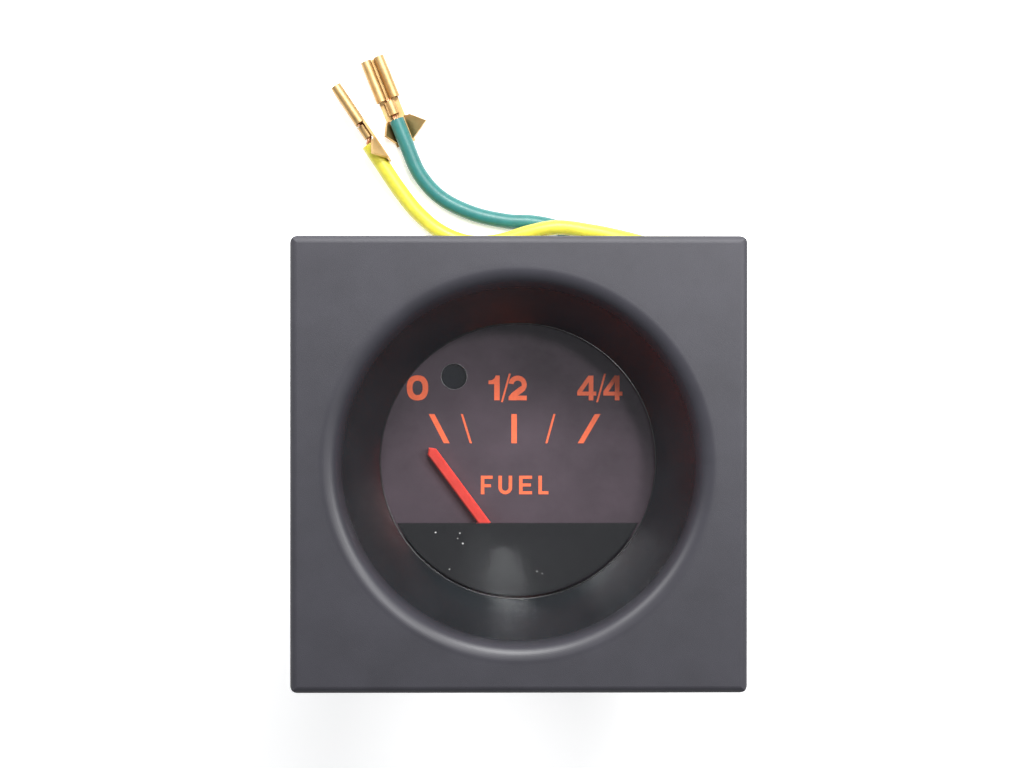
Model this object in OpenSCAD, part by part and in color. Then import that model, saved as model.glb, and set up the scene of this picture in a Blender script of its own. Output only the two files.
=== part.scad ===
// Dashboard fuel gauge with a square black bezel, a deep conical recess and two flying leads.
// The face looks along +Z and the dial's top is +Y. The origin is on the can's axis, in the plane
// of the panel that the bezel sits on. All sizes are in millimetres.

/* [Bezel] */
// Side of the square bezel
bezel_side = 60; // [59:0.5:66]
// Height of the bezel's face above the panel
bezel_depth = 9; // [8:0.5:11]
// Radius of the bezel's four upright corners
bezel_corner_r = 1.2; // [0.8:0.1:2]
// Radius of the rounding round the bezel's face
bezel_edge_r = 1; // [0.5:0.1:1.2]
// Thickness of the bezel's side walls
bezel_wall = 2; // [1.5:0.1:2.2]
// Thickness of the bezel's face
face_wall = 2; // [1.6:0.1:2.5]
// Thickness of the ribs behind the bezel's face
rib_wall = 1.2; // [0.8:0.1:1.6]
// Number of short ribs from the recess barrel to each side wall
ribs_per_side = 3; // [1:1:5]
// Distance from one short rib to the next
rib_pitch = 5; // [4:0.5:6]
// Distance of the corner screws from the bezel's sides
screw_inset = 6.5; // [6:0.1:7]
// Radius of the screw bosses in the bezel's corners
boss_r = 3; // [2.5:0.1:3.4]

/* [Recess] */
// Radius of the window at the recess's inner end
window_r = 18.7; // [18.3:0.1:19]
// Slope of the recess wall from the gauge's axis
recess_angle = 31; // [27:0.5:32]
// Radius of the roll where the face turns into the recess
roll_r = 2.2; // [1.8:0.1:2.6]
// Thickness of the lip that stops just above the lens
lip_wall = 0.4; // [0.3:0.05:0.5]
// Gap between the lip and the lens
lip_gap = 0.1; // [0.05:0.05:0.2]

/* [Can] */
// Outer diameter of the can, for a 52 mm panel hole
can_d = 51.5; // [51:0.1:51.9]
// Depth of the can behind the panel
can_depth = 36; // [35:0.5:42]
// Thickness of the can's side wall
can_wall = 1.45; // [1.2:0.05:1.6]
// Thickness of the can's back
back_wall = 1.8; // [1.5:0.1:2.4]
// Thickness of the flange that the bezel is screwed to
flange_wall = 1.6; // [1.4:0.1:2.2]
// Gap between the flange and the bezel's side walls
flange_gap = 0.4; // [0.2:0.05:0.6]
// Radius of the flange's four screw ears
ear_r = 3.5; // [3.2:0.1:3.8]
// Width of the four posts inside the can that carry the light box
post_w = 2.2; // [1.6:0.1:3]
// How far those posts stand in from the can's wall
post_reach = 1.9; // [1.6:0.1:2.4]

/* [Window stack] */
// Gap between the can and the bezel's skirt
skirt_gap = 0.1; // [0.05:0.05:0.2]
// Thickness of the bezel's skirt
skirt_wall = 1.8; // [1.5:0.1:2]
// Gap round the lens, the spacer ring and the dial in their seat
seat_gap = 0.2; // [0.1:0.05:0.3]
// How far the lens's face lies behind the panel plane
lens_drop = 1; // [0.8:0.1:2]
// Thickness of the lens
lens_wall = 1.5; // [1:0.1:2]
// Thickness of the gasket on the lens
gasket_wall = 0.6; // [0.5:0.1:0.7]
// Width of the gasket
gasket_w = 1.9; // [1.2:0.1:1.9]
// Gap between the gasket and its groove in the bezel
gasket_gap = 0.1; // [0.05:0.05:0.2]
// Thickness of the spacer ring round the dial
ring_wall = 3.1; // [2.8:0.1:3.5]
// Thickness of the dial
dial_wall = 0.8; // [0.6:0.1:1.2]
// How far the bezel's skirt reaches past the dial
skirt_lap = 0.4; // [0.3:0.1:0.8]

/* [Pivot mask] */
// Gap between the spacer ring and the half-moon mask that hides the pivot
mask_side_gap = 0.5; // [0.4:0.1:1]
// How far below the centre the mask's straight edge lies
mask_edge_drop = 8.6; // [8:0.1:9]
// Thickness of the mask
mask_wall = 1.3; // [1:0.1:1.4]
// Gap between the mask and the lens
mask_gap = 0.4; // [0.3:0.05:0.5]
// Radius of the mask's two pegs
peg_r = 0.9; // [0.7:0.1:1.1]
// Distance of the pegs from the mask's round edge
peg_inset = 1.36; // [1.2:0.02:1.6]
// How far round the pegs are, down from the horizontal centre line
peg_angle = 42.6; // [40:0.2:45]
// How far the pegs reach behind the dial
peg_tail = 0.8; // [0.5:0.1:1.2]

/* [Dial] */
// Distance of each lamp from the vertical centre line
lamp_x = 8.8; // [8.5:0.1:9.2]
// Height of both lamps above the centre
lamp_y = 11.5; // [11.2:0.1:11.8]
// Radius of the round warning hole in the dial
warning_hole_r = 1.8; // [1.5:0.1:2.2]
// How far the warning window laps under the dial round its hole
window_lap = 0.9; // [0.6:0.1:1.2]
// Thickness of the warning window
warning_window_wall = 0.8; // [0.6:0.1:1]
// Radius of the dial screws' heads
dial_screw_head_r = 1.4; // [1.2:0.1:1.5]
// Distance of each dial screw from the vertical centre line
dial_screw_x = 7; // [6.8:0.1:7.4]

/* [Pointer] */
// Gap between the pointer's tail and the spacer ring
tail_gap = 0.4; // [0.3:0.05:0.6]
// Length of the pointer from its pivot to its tip
pointer_length = 20.6; // [19.8:0.1:21]
// Width of the pointer near its pivot
pointer_root_w = 1.4; // [1.1:0.1:1.7]
// Width of the pointer at its tip
pointer_tip_w = 1.4; // [1.1:0.1:1.6]
// Thickness of the pointer
pointer_wall = 0.6; // [0.4:0.05:0.7]
// Gap between the pointer and the dial
pointer_gap = 0.5; // [0.4:0.05:0.6]
// Distance of the tail's weight from the pivot
tail_length = 2.4; // [2.3:0.1:2.7]
// Radius of the pointer's hub
hub_r = 1.1; // [0.9:0.1:1.3]
// How far the hub stands above the pointer
hub_rise = 0.2; // [0.1:0.05:0.25]
// Gap between the hub and the mask over it
hub_gap = 0.3; // [0.2:0.05:0.5]
// Width of the pointer's eyes round the hub and the weight
eye_wall = 0.6; // [0.4:0.05:0.7]
// Radius of the brass weight on the tail
weight_r = 0.8; // [0.5:0.1:0.9]
// Angle of the resting pointer, anticlockwise from the dial's top
rest_angle = 36.5; // [32:0.5:40]
// Angle that the pointer turns through between its stops
sweep_angle = 72; // [66:1:76]
// Distance of the two stop pins from the pivot
stop_place = 5.5; // [5:0.1:6]
// Radius of the stop pins
stop_r = 0.35; // [0.3:0.05:0.45]
// Gap between the pointer and the pin that it rests on
stop_gap = 0.05; // [0.03:0.01:0.1]

/* [Movement] */
// Radius of the spindle
spindle_r = 0.5; // [0.4:0.05:0.6]
// Gap under the spindle's end
spindle_float = 0.1; // [0.05:0.05:0.2]
// Running gap between the spindle and its jewels
jewel_gap = 0.05; // [0.02:0.01:0.08]
// Outer radius of the jewel bushes
jewel_r = 1.1; // [1:0.05:1.3]
// Half the width of the square bridges
bridge_half = 5.2; // [5:0.1:5.5]
// Thickness of the bridges
bridge_wall = 1.2; // [1:0.1:1.6]
// Distance from one bridge to the other
bridge_span = 11.8; // [11.8:0.1:13]
// Half the width of the coil former's core
core_half = 4.3; // [4.2:0.1:4.4]
// Height of the coil former's core
core_height = 7; // [6.8:0.1:7.2]
// Radius of the magnet chamber
chamber_r = 3.7; // [3.6:0.05:3.8]
// Height of the magnet chamber
chamber_height = 5; // [4.8:0.1:5.4]
// Gap round the magnet in its chamber
magnet_gap = 0.3; // [0.2:0.05:0.4]
// Distance of the former's corner posts from the centre lines
corner_post_in = 2.7; // [2.7:0.05:2.8]
// Distance of the four pillars from the centre lines
pillar_place = 4; // [3.95:0.05:4.05]
// Radius of the pillars
pillar_r = 0.7; // [0.6:0.05:0.75]
// Half the gap that the spindle leaves between the two halves of a winding
winding_gap_half = 0.8; // [0.75:0.05:0.9]
// Thickness of each winding
winding_wall = 0.6; // [0.5:0.05:0.6]
// Gap between a winding and the former's corner posts
winding_gap = 0.1; // [0.05:0.01:0.15]

/* [Light box] */
// Depth of the light box behind the dial
light_box_depth = 15.4; // [15:0.1:15.8]
// Thickness of the light box's walls
light_box_wall = 1.2; // [0.9:0.1:1.5]
// Thickness of the partitions inside it
partition_wall = 1; // [0.8:0.1:1.2]
// Depth of the rim that laps the dial's edge
light_box_rim = 1.8; // [1.4:0.1:2.2]
// Gap between the movement and the walls of its bay
bay_gap = 0.5; // [0.3:0.05:0.6]
// Radius of the clear hole round each bulb
bulb_hole_r = 3.6; // [3.2:0.1:3.8]

/* [Lamps] */
// Radius of the lamp holders' barrels
holder_r = 5.5; // [5.2:0.1:5.7]
// Gap round the barrels in their holes
holder_gap = 0.1; // [0.05:0.01:0.15]
// Radius to the ends of the bayonet lugs
lug_r = 6.8; // [6.6:0.1:6.9]
// Width of the bayonet lugs
lug_w = 2.6; // [2:0.1:3]
// Thickness of the bayonet lugs
lug_wall = 1.2; // [1:0.1:1.6]
// How far the barrels reach past their lugs
holder_nose = 1.5; // [1:0.1:2]
// Radius of the holders' flanges
holder_flange_r = 7.2; // [7.1:0.1:7.4]
// Thickness of the holders' flanges
holder_flange_wall = 1.2; // [1:0.1:1.5]
// Radius of the holders' round grips
grip_r = 4.2; // [3.8:0.1:4.4]
// Width across the wings of the grips
wing_w = 13; // [12:0.1:13.6]
// Thickness of the wings
wing_wall = 2.4; // [2:0.1:2.8]
// Thickness of the brass contact strips
contact_wall = 0.4; // [0.3:0.05:0.5]
// Width of the brass contact strips
contact_w = 2; // [1.6:0.1:2.4]
// Gap between the contact strips and the circuit board
contact_gap = 0.1; // [0.05:0.05:0.15]
// Radius of the capless bulbs
bulb_r = 2.5; // [2.4:0.05:2.6]
// Length of the capless bulbs
bulb_length = 18; // [17:0.5:19]
// How deep the bulb's wedge sits in the holder
bulb_seat = 5.5; // [5:0.1:6]
// Gap round the bulb in its socket
bulb_gap = 0.1; // [0.05:0.05:0.15]

/* [Rear] */
// How far the studs, tabs and lamp holders stand out behind the can
rear_reach = 14; // [14:0.5:18]
// Distance from one mounting stud to the other
stud_pitch = 34; // [33:0.5:35]
// Radius of the M4 mounting studs
stud_r = 2; // [1.9:0.05:2.1]
// Radius of the studs' ends inside the can
stud_root_r = 1.8; // [1.6:0.05:1.85]
// Width across the flats of the studs' hexagons
stud_flats = 7; // [6.5:0.1:8]
// Height of the studs' hexagons
stud_hex_height = 2.8; // [2.4:0.1:3.2]
// How deep the studs' ends sit in the can
stud_root_depth = 4; // [3:0.1:4.4]
// Radius of the bosses that hold the studs inside the can
stud_boss_r = 4; // [3.5:0.1:4.5]
// Height of those bosses
stud_boss_height = 3.2; // [3:0.1:4]
// Thickness of the circuit board on the can's back
board_wall = 1.5; // [1.2:0.1:1.6]
// Distance of the circuit board's round edge from the can's side
board_inset = 2.15; // [1.5:0.05:2.3]
// Height of the circuit board's straight edge above the centre
board_edge_y = 3.6; // [3.4:0.1:4]
// Gap between the circuit board and the studs' hexagons
board_gap = 0.5; // [0.3:0.05:0.6]
// Distance of the board's two side screws from the vertical centre line
board_screw_x = 19.4; // [19:0.1:19.8]
// Height of the board's side screws above the centre
board_screw_y = 8; // [7.5:0.1:8.5]
// Height of the board's middle screw above the centre
board_mid_screw_y = 6.2; // [6:0.1:6.6]
// Width of the terminal block
block_w = 26; // [25:0.1:26.4]
// Height of the terminal block seen from behind
block_h = 9; // [8.4:0.1:9]
// Thickness of the terminal block's base
block_wall = 2; // [1.6:0.1:2.4]
// Height of the raised collar round each tab
collar_height = 3; // [2:0.1:3]
// Thickness of the collars' walls
collar_wall = 1.1; // [0.9:0.05:1.2]
// How far below the centre the terminal block lies
block_drop = 15.5; // [15.2:0.1:15.6]
// Distance from one tab to the next
tab_pitch = 8; // [7.6:0.1:8.4]
// Width of the blade tabs
tab_w = 6.3; // [6.3:0.1:6.6]
// Thickness of the blade tabs
tab_wall = 0.8; // [0.7:0.05:0.9]
// Gap between the bent foot of each tab and the next rivet's head
foot_gap = 0.2; // [0.1:0.05:0.5]
// Radius of the detent hole in each tab
tab_hole_r = 0.9; // [0.8:0.05:1.2]
// Radius of the rivets that hold the terminal block
rivet_r = 1; // [0.8:0.05:1.1]
// Radius of the rivets' heads
rivet_head_r = 1.6; // [1.4:0.05:1.7]
// Height of the rivets' heads
rivet_head_h = 0.5; // [0.3:0.1:0.7]
// Radius of the wire-wound resistor behind the movement
resistor_r = 1.5; // [1.2:0.1:1.7]
// Length of the resistor
resistor_length = 5.6; // [5:0.1:6.2]
// Height of the resistor above the can's back
resistor_lift = 5.3; // [4.5:0.1:6]
// Radius of the resistor's leads
resistor_lead_r = 0.3; // [0.25:0.05:0.4]

/* [Screws] */
// Radius of the bezel screws
bezel_screw_r = 0.95; // [0.8:0.05:1.1]
// Length of the bezel screws
bezel_screw_length = 6.5; // [5.5:0.1:6.6]
// Radius of the bezel screws' countersunk heads
bezel_screw_head_r = 2.1; // [1.9:0.05:2.3]
// Radius of the dial and board screws
small_screw_r = 0.6; // [0.45:0.05:0.65]
// Radius of the board screws' heads
board_screw_head_r = 1.5; // [1.2:0.1:1.6]
// Radius of the pillar screws
pillar_screw_r = 0.3; // [0.25:0.05:0.35]
// Radius of the pillar screws' heads
pillar_screw_head_r = 0.8; // [0.7:0.05:0.9]
// Height of the small screws' heads
screw_head_h = 0.5; // [0.4:0.05:0.6]
// Clearance of every screw, pin and bush in its hole
pin_gap = 0.02; // [0.01:0.01:0.04]

/* [Leads] */
// Radius of the insulated leads
lead_r = 1.2; // [1.1:0.05:1.25]
// Distance from one lead to the other where they leave the grommet
lead_pitch = 3.2; // [3:0.1:3.4]
// Height of the grommet above the centre
grommet_y = 19.8; // [19.7:0.1:19.9]
// Radius of the grommet's waist in its hole
grommet_r = 3.4; // [3.3:0.05:3.5]
// How far the grommet's flanges stand out from its waist
grommet_rim = 0.7; // [0.6:0.05:0.75]
// Thickness of the grommet's inner flange
grommet_wall = 1; // [0.8:0.1:1.2]
// Length of the grommet behind the circuit board
grommet_nose = 1.4; // [1.2:0.1:1.4]
// Length of the brass receptacles on the leads
receptacle_length = 14.6; // [14:0.1:15]
// Width of the receptacles across their rolled edges
receptacle_w = 3.9; // [3.6:0.1:4.2]
// Thickness of the receptacles' sheet brass
sheet_wall = 0.4; // [0.3:0.05:0.45]
// Radius of the receptacles' rolled edges
curl_r = 0.85; // [0.75:0.05:0.95]
// Length of the receptacles' rolled edges
curl_length = 7; // [6.5:0.1:7.3]
// Length of the crimp on the bare wire
crimp_length = 2.2; // [1.8:0.1:2.4]
// Length of the open wings beside the insulation
wing_length = 4.2; // [3.8:0.1:4.4]
// How far the splayed wing reaches outwards
splayed_wing = 3.6; // [3.2:0.1:4]
// How far the upright wing reaches upwards
upright_wing = 2.8; // [2.4:0.1:3.2]
// Angle of the splayed wing above the base
splay_angle = 30; // [20:1:45]
// Angle of the upright wing above the base
upright_angle = 60; // [55:1:75]

/* [Hidden] */
$fn = 64;
// Extra length of a cutting shape past the face that it cuts
past = 1;

screw_place = bezel_side / 2 - screw_inset;
can_r = can_d / 2;
can_in_r = can_r - can_wall;
skirt_r = can_in_r - skirt_gap;
seat_r = skirt_r - skirt_wall;
disc_r = seat_r - seat_gap;
gasket_in_r = disc_r - gasket_w;
ring_r = disc_r - ring_wall;
mask_r = ring_r - mask_side_gap;
flange_r = bezel_side / 2 - bezel_wall - flange_gap;
board_r = can_r - board_inset;
tab_foot = (tab_pitch - tab_wall) / 2 - rivet_head_r - foot_gap;

lens_top = -lens_drop;
lens_bottom = lens_top - lens_wall;
mask_top = lens_bottom - mask_gap;
mask_bottom = mask_top - mask_wall;
pointer_top = mask_bottom - hub_gap - hub_rise;
pointer_bottom = pointer_top - pointer_wall;
dial_top = pointer_bottom - pointer_gap;
dial_bottom = dial_top - dial_wall;
skirt_end = dial_bottom - skirt_lap;
recess_end = lens_top + lip_gap;
gasket_top = lens_top + gasket_wall;
face_inner = bezel_depth - face_wall;
back_inner = -can_depth + back_wall;
board_back = -can_depth - board_wall;
rear_end = -can_depth - rear_reach;
box_bottom = dial_bottom - light_box_depth;
box_floor = box_bottom + light_box_wall;
partition_top = dial_bottom - light_box_rim;

pivot_drop = ring_r - tail_gap - eye_wall - weight_r - tail_length;
pivot = [0, -pivot_drop];
front_bridge_bottom = dial_bottom - bridge_wall;
rear_bridge_top = front_bridge_bottom - bridge_span;
rear_bridge_bottom = rear_bridge_top - bridge_wall;
movement_middle = (front_bridge_bottom + rear_bridge_top) / 2;

module on_pivot() translate(pivot) children();

module rounded_square(side, r) {
    square([side - 2 * r, side], center = true);
    square([side, side - 2 * r], center = true);
    for (x = [-1, 1], y = [-1, 1])
        translate([x, y] * (side / 2 - r)) circle(r);
}

module four_corners(place) {
    for (x = [-1, 1], y = [-1, 1]) translate([x * place, y * place, 0]) children();
}

module both_sides(x, y = 0) {
    for (side = [-1, 1]) translate([side * x, y, 0]) children();
}

// A cylinder from one height to another, in that order upwards
module rod(r, low, high) translate([0, 0, low]) cylinder(r = r, h = high - low);

module tube(outer, inner, low, high) {
    difference() {
        rod(outer, low, high);
        rod(inner, low - past, high + past);
    }
}

// Bezel

// The roll's centre is set so that its arc meets the sloped wall without a step
roll_steps = 11;
roll_z = bezel_depth - roll_r;
roll_centre = window_r
    + (roll_r + (roll_z - recess_end) * sin(recess_angle)) / cos(recess_angle);

function recess_outline() = concat(
    [[0, recess_end - past], [window_r, recess_end - past], [window_r, recess_end]],
    [for (a = [180 - recess_angle : -(90 - recess_angle) / roll_steps : 90])
        [roll_centre + roll_r * cos(a), roll_z + roll_r * sin(a)]],
    [[roll_centre, bezel_depth + past], [0, bezel_depth + past]]
);

module edge_rounding() {
    for (turn = [0 : 3])
        rotate(90 * turn)
            rotate([90, 0, 0])
                linear_extrude(bezel_side + 2 * past, center = true)
                    translate([bezel_side / 2 - bezel_edge_r, bezel_depth - bezel_edge_r])
                        difference() {
                            square(bezel_edge_r + past);
                            circle(bezel_edge_r);
                        }
}

module bezel_ribs() {
    reach = bezel_side / 2 - bezel_wall / 2;
    height = face_inner + face_wall / 2 - flange_wall;
    for (turn = [0 : 3])
        rotate(90 * turn)
            for (i = [0 : ribs_per_side - 1])
                translate([
                    can_in_r + can_wall / 2,
                    (i - (ribs_per_side - 1) / 2) * rib_pitch - rib_wall / 2,
                    flange_wall
                ])
                    cube([reach - can_in_r - can_wall / 2, rib_wall, height]);
    for (turn = [0 : 3])
        rotate(90 * turn + 45)
            translate([can_in_r + can_wall / 2, -rib_wall / 2, flange_wall])
                cube([screw_place * sqrt(2) - boss_r / 2 - can_in_r - can_wall / 2,
                    rib_wall, height]);
}

module bezel() color("#3a3a3f") difference() {
    union() {
        difference() {
            linear_extrude(bezel_depth) rounded_square(bezel_side, bezel_corner_r);
            edge_rounding();
            translate([0, 0, -past])
                linear_extrude(face_inner + past)
                    rounded_square(bezel_side - 2 * bezel_wall, bezel_corner_r / 2);
        }
        rod(can_r, flange_wall, bezel_depth - face_wall / 2);
        rod(skirt_r, skirt_end, flange_wall + past);
        four_corners(screw_place) rod(boss_r, flange_wall, bezel_depth - face_wall / 2);
        bezel_ribs();
    }
    rotate_extrude() polygon(recess_outline());
    tube(seat_r, window_r + lip_wall, skirt_end - past, gasket_top);
    tube(seat_r, gasket_in_r - gasket_gap, skirt_end - past, gasket_top);
    rod(seat_r, skirt_end - past, recess_end);
    four_corners(screw_place)
        rod(bezel_screw_r + pin_gap, flange_wall - past, face_inner);
}

module bezel_screws() color("#b9bcc0") four_corners(screw_place) {
    countersink = bezel_screw_head_r - bezel_screw_r;
    cylinder(r1 = bezel_screw_head_r, r2 = bezel_screw_r, h = countersink);
    rod(bezel_screw_r, 0, bezel_screw_length);
}

// Window stack

module lens() color("#d8e4ea", 0.35) rod(disc_r, lens_bottom, lens_top);

module lens_gasket() color("#1c1c1e") tube(disc_r, gasket_in_r, lens_top, gasket_top);

module spacer_ring() color("#222224") tube(disc_r, ring_r, dial_top, lens_bottom);

module peg_places() {
    for (angle = [-peg_angle, peg_angle - 180])
        rotate(angle) translate([mask_r - peg_inset, 0, 0]) children();
}

// The mask is the lower part of a disc. Its straight edge slopes up from the dial side.
module pivot_mask() color("#141416") {
    difference() {
        rod(mask_r, mask_bottom, mask_top);
        translate([-mask_r - past, -mask_edge_drop, mask_bottom - past])
            cube([2 * (mask_r + past), 2 * mask_r, mask_wall + 2 * past]);
        translate([0, -mask_edge_drop, mask_bottom])
            rotate([45, 0, 0])
                translate([-mask_r - past, 0, 0])
                    mirror([0, 1, 0])
                        rotate([-90, 0, 0])
                            cube([2 * (mask_r + past), 2 * mask_r, mask_r]);
    }
    peg_places() rod(peg_r, dial_bottom - peg_tail, mask_bottom);
}

module dial_plate() color("#4c4a4e") difference() {
    rod(disc_r, dial_bottom, dial_top);
    translate([-lamp_x, lamp_y, 0])
        rod(warning_hole_r, dial_bottom - past, dial_top + past);
    on_pivot() rod(hub_r, dial_bottom - past, dial_top + past);
    peg_places() rod(peg_r + pin_gap, dial_bottom - past, dial_top + past);
    both_sides(dial_screw_x, -pivot_drop)
        rod(small_screw_r + pin_gap, dial_bottom - past, dial_top + past);
    stop_places() rod(stop_r + pin_gap, dial_bottom - past, dial_top + past);
}

module warning_window() color("#2a2f3a", 0.8)
    translate([-lamp_x, lamp_y, 0])
        rod(warning_hole_r + window_lap, dial_bottom - warning_window_wall, dial_bottom);

module dial_screws() color("#b9bcc0") both_sides(dial_screw_x, -pivot_drop) {
    rod(dial_screw_head_r, dial_top, dial_top + screw_head_h);
    rod(small_screw_r, front_bridge_bottom, dial_top);
}

// Each stop pin touches the side of the pointer at one end of its travel
function pointer_half_at(d) =
    (pointer_root_w + (pointer_tip_w - pointer_root_w) * d / pointer_length) / 2;
stop_turn = asin((pointer_half_at(stop_place) + stop_r + stop_gap) / stop_place);

module stop_places() {
    for (a = [rest_angle + stop_turn, rest_angle - sweep_angle - stop_turn])
        on_pivot() rotate(a) translate([0, stop_place, 0]) children();
}

module pointer_stops() color("#b9bcc0") stop_places() rod(stop_r, dial_bottom, pointer_top);

// Pointer and spindle

module turned_to_rest() on_pivot() rotate(rest_angle) children();

module pointer() color("#e8553f") turned_to_rest() difference() {
    union() {
        translate([0, 0, pointer_bottom])
            linear_extrude(pointer_wall)
                polygon([
                    [pointer_root_w / 2, 0],
                    [pointer_tip_w / 2, pointer_length - pointer_tip_w / 2],
                    [0, pointer_length],
                    [-pointer_tip_w / 2, pointer_length - pointer_tip_w / 2],
                    [-pointer_root_w / 2, 0],
                    [-weight_r, -tail_length],
                    [weight_r, -tail_length]
                ]);
        rod(hub_r + eye_wall, pointer_bottom, pointer_top);
        translate([0, -tail_length, 0])
            rod(weight_r + eye_wall, pointer_bottom, pointer_top);
    }
    rod(hub_r + pin_gap, pointer_bottom - past, pointer_top + past);
    translate([0, -tail_length, 0])
        rod(weight_r + pin_gap, pointer_bottom - past, pointer_top + past);
}

module pointer_hub() color("#1c1c1e") on_pivot()
    tube(hub_r, spindle_r + pin_gap, pointer_bottom, pointer_top + hub_rise);

module balance_weight() color("#c8a45a") turned_to_rest()
    translate([0, -tail_length, 0]) rod(weight_r, pointer_bottom, pointer_top);

module spindle() color("#c4c7cb") on_pivot()
    rod(spindle_r, rear_bridge_bottom + spindle_float, pointer_top + hub_rise);

magnet_r = chamber_r - magnet_gap;
magnet_half = chamber_height / 2 - magnet_gap;

module magnet_rotor() color("#6e7074") on_pivot()
    translate([0, 0, movement_middle])
        tube(magnet_r, spindle_r + pin_gap, -magnet_half, magnet_half);

// Movement

module square_plate(low, high) {
    translate([0, 0, low])
        linear_extrude(high - low) rounded_square(2 * bridge_half, pillar_r);
}

module front_bridge() color("#c8a45a") on_pivot() difference() {
    union() {
        square_plate(front_bridge_bottom, dial_bottom);
        translate([0, 0, (front_bridge_bottom + dial_bottom) / 2])
            cube([2 * dial_screw_x, 2 * dial_screw_head_r, bridge_wall], center = true);
        both_sides(dial_screw_x) rod(dial_screw_head_r, front_bridge_bottom, dial_bottom);
    }
    rod(jewel_r + pin_gap, front_bridge_bottom - past, dial_bottom + past);
    both_sides(dial_screw_x)
        rod(small_screw_r + pin_gap, front_bridge_bottom - past, dial_bottom + past);
    four_corners(pillar_place)
        rod(pillar_r + pin_gap, front_bridge_bottom - past, dial_bottom + past);
}

module rear_bridge() color("#c8a45a") on_pivot() difference() {
    square_plate(rear_bridge_bottom, rear_bridge_top);
    rod(jewel_r + pin_gap, rear_bridge_bottom - past, rear_bridge_top + past);
    four_corners(pillar_place)
        rod(pillar_screw_r + pin_gap, rear_bridge_bottom - past, rear_bridge_top + past);
}

module bridge_pillars() color("#c8a45a") on_pivot() four_corners(pillar_place)
    difference() {
        rod(pillar_r, rear_bridge_top, dial_bottom);
        rod(pillar_screw_r + pin_gap, rear_bridge_top - past, rear_bridge_top + bridge_wall);
    }

module pillar_screws() color("#b9bcc0") on_pivot() four_corners(pillar_place) {
    rod(pillar_screw_head_r, rear_bridge_bottom - screw_head_h, rear_bridge_bottom);
    rod(pillar_screw_r, rear_bridge_bottom, rear_bridge_top + bridge_wall - pin_gap);
}

// The former splits across the magnet chamber so that the rotor can be put in
module former_half(low, high) {
    on_pivot() difference() {
        intersection() {
            union() {
                translate([0, 0, movement_middle])
                    cube([2 * core_half, 2 * core_half, core_height], center = true);
                for (turn = [0 : 3])
                    rotate(90 * turn)
                        translate([corner_post_in, corner_post_in, rear_bridge_top])
                            cube([bridge_half - corner_post_in, bridge_half - corner_post_in,
                                bridge_span]);
            }
            translate([0, 0, (low + high) / 2])
                cube([3 * bridge_half, 3 * bridge_half, high - low], center = true);
        }
        translate([0, 0, movement_middle])
            rod(chamber_r, -chamber_height / 2, chamber_height / 2);
        rod(spindle_r + magnet_gap, rear_bridge_top - past, front_bridge_bottom + past);
        four_corners(pillar_place)
            rod(pillar_r + pin_gap, rear_bridge_top - past, front_bridge_bottom + past);
    }
}

module former_front() color("#e9e6dc") former_half(movement_middle, front_bridge_bottom);

module former_rear() color("#e9e6dc") former_half(rear_bridge_top, movement_middle);

// One winding is two flat loops, one on each side of the spindle
module winding(inner_height) {
    loop_w = corner_post_in - winding_gap - winding_gap_half;
    inner_half = core_half + pin_gap;
    for (side = [-1, 1])
        translate([0, side * (winding_gap_half + loop_w / 2), movement_middle])
            difference() {
                cube([2 * (inner_half + winding_wall), loop_w, inner_height + 2 * winding_wall],
                    center = true);
                cube([2 * inner_half, loop_w + past, inner_height], center = true);
            }
}

inner_winding_height = core_height + 2 * pin_gap;
outer_winding_height = inner_winding_height + 2 * winding_wall + 2 * pin_gap;

module inner_winding() color("#a8532c") on_pivot() winding(inner_winding_height);

module outer_winding() color("#a8532c") on_pivot() rotate(90) winding(outer_winding_height);

module front_jewel() color("#8e2a3c") on_pivot()
    tube(jewel_r, spindle_r + jewel_gap, front_bridge_bottom, dial_bottom);

module rear_jewel() color("#8e2a3c") on_pivot() difference() {
    rod(jewel_r, rear_bridge_bottom - bridge_wall / 2, rear_bridge_top);
    rod(spindle_r + jewel_gap, rear_bridge_bottom, rear_bridge_top + past);
}

// Light box: a white cup behind the dial with a bay for the movement and a tube for the warning lamp

module light_box() color("#e9e6dc") difference() {
    union() {
        difference() {
            union() {
                rod(can_in_r - skirt_gap, box_bottom, skirt_end);
                rod(disc_r, box_bottom, dial_bottom);
            }
            rod(can_in_r - skirt_gap - light_box_wall, box_floor, partition_top);
            rod(disc_r - light_box_wall, box_floor, dial_bottom + past);
        }
        bay_walls(bay_w + 2 * partition_wall, bay_h + 2 * partition_wall);
        translate([-lamp_x, lamp_y, 0])
            rod(bulb_hole_r + partition_wall, box_bottom, partition_top);
    }
    translate([0, 0, -past]) bay_walls(bay_w, bay_h, 2 * past);
    both_sides(lamp_x, lamp_y) rod(bulb_hole_r, box_bottom - past, dial_bottom + past);
}

bay_w = 2 * (dial_screw_x + dial_screw_head_r + bay_gap);
bay_h = 2 * (bridge_half + bay_gap);

module bay_walls(w, h, more = 0) {
    translate([-w / 2, -pivot_drop - h / 2, box_bottom])
        cube([w, h, partition_top - box_bottom + more]);
}

// Can

module ear_shape() {
    for (turn = [0 : 3])
        rotate(90 * turn + 45) {
            translate([screw_place * sqrt(2), 0]) circle(ear_r);
            translate([0, -ear_r]) square([screw_place * sqrt(2), 2 * ear_r]);
        }
}

// The keyhole that a bayonet holder goes through, turned to where the holder unlocks
module bayonet_hole(low, high) {
    rod(holder_r + holder_gap, low, high);
    rotate(unlock_turn)
        translate([0, 0, (low + high) / 2])
            cube([2 * (lug_r + holder_gap), lug_w + 4 * holder_gap, high - low], center = true);
}

unlock_turn = -45;

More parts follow.
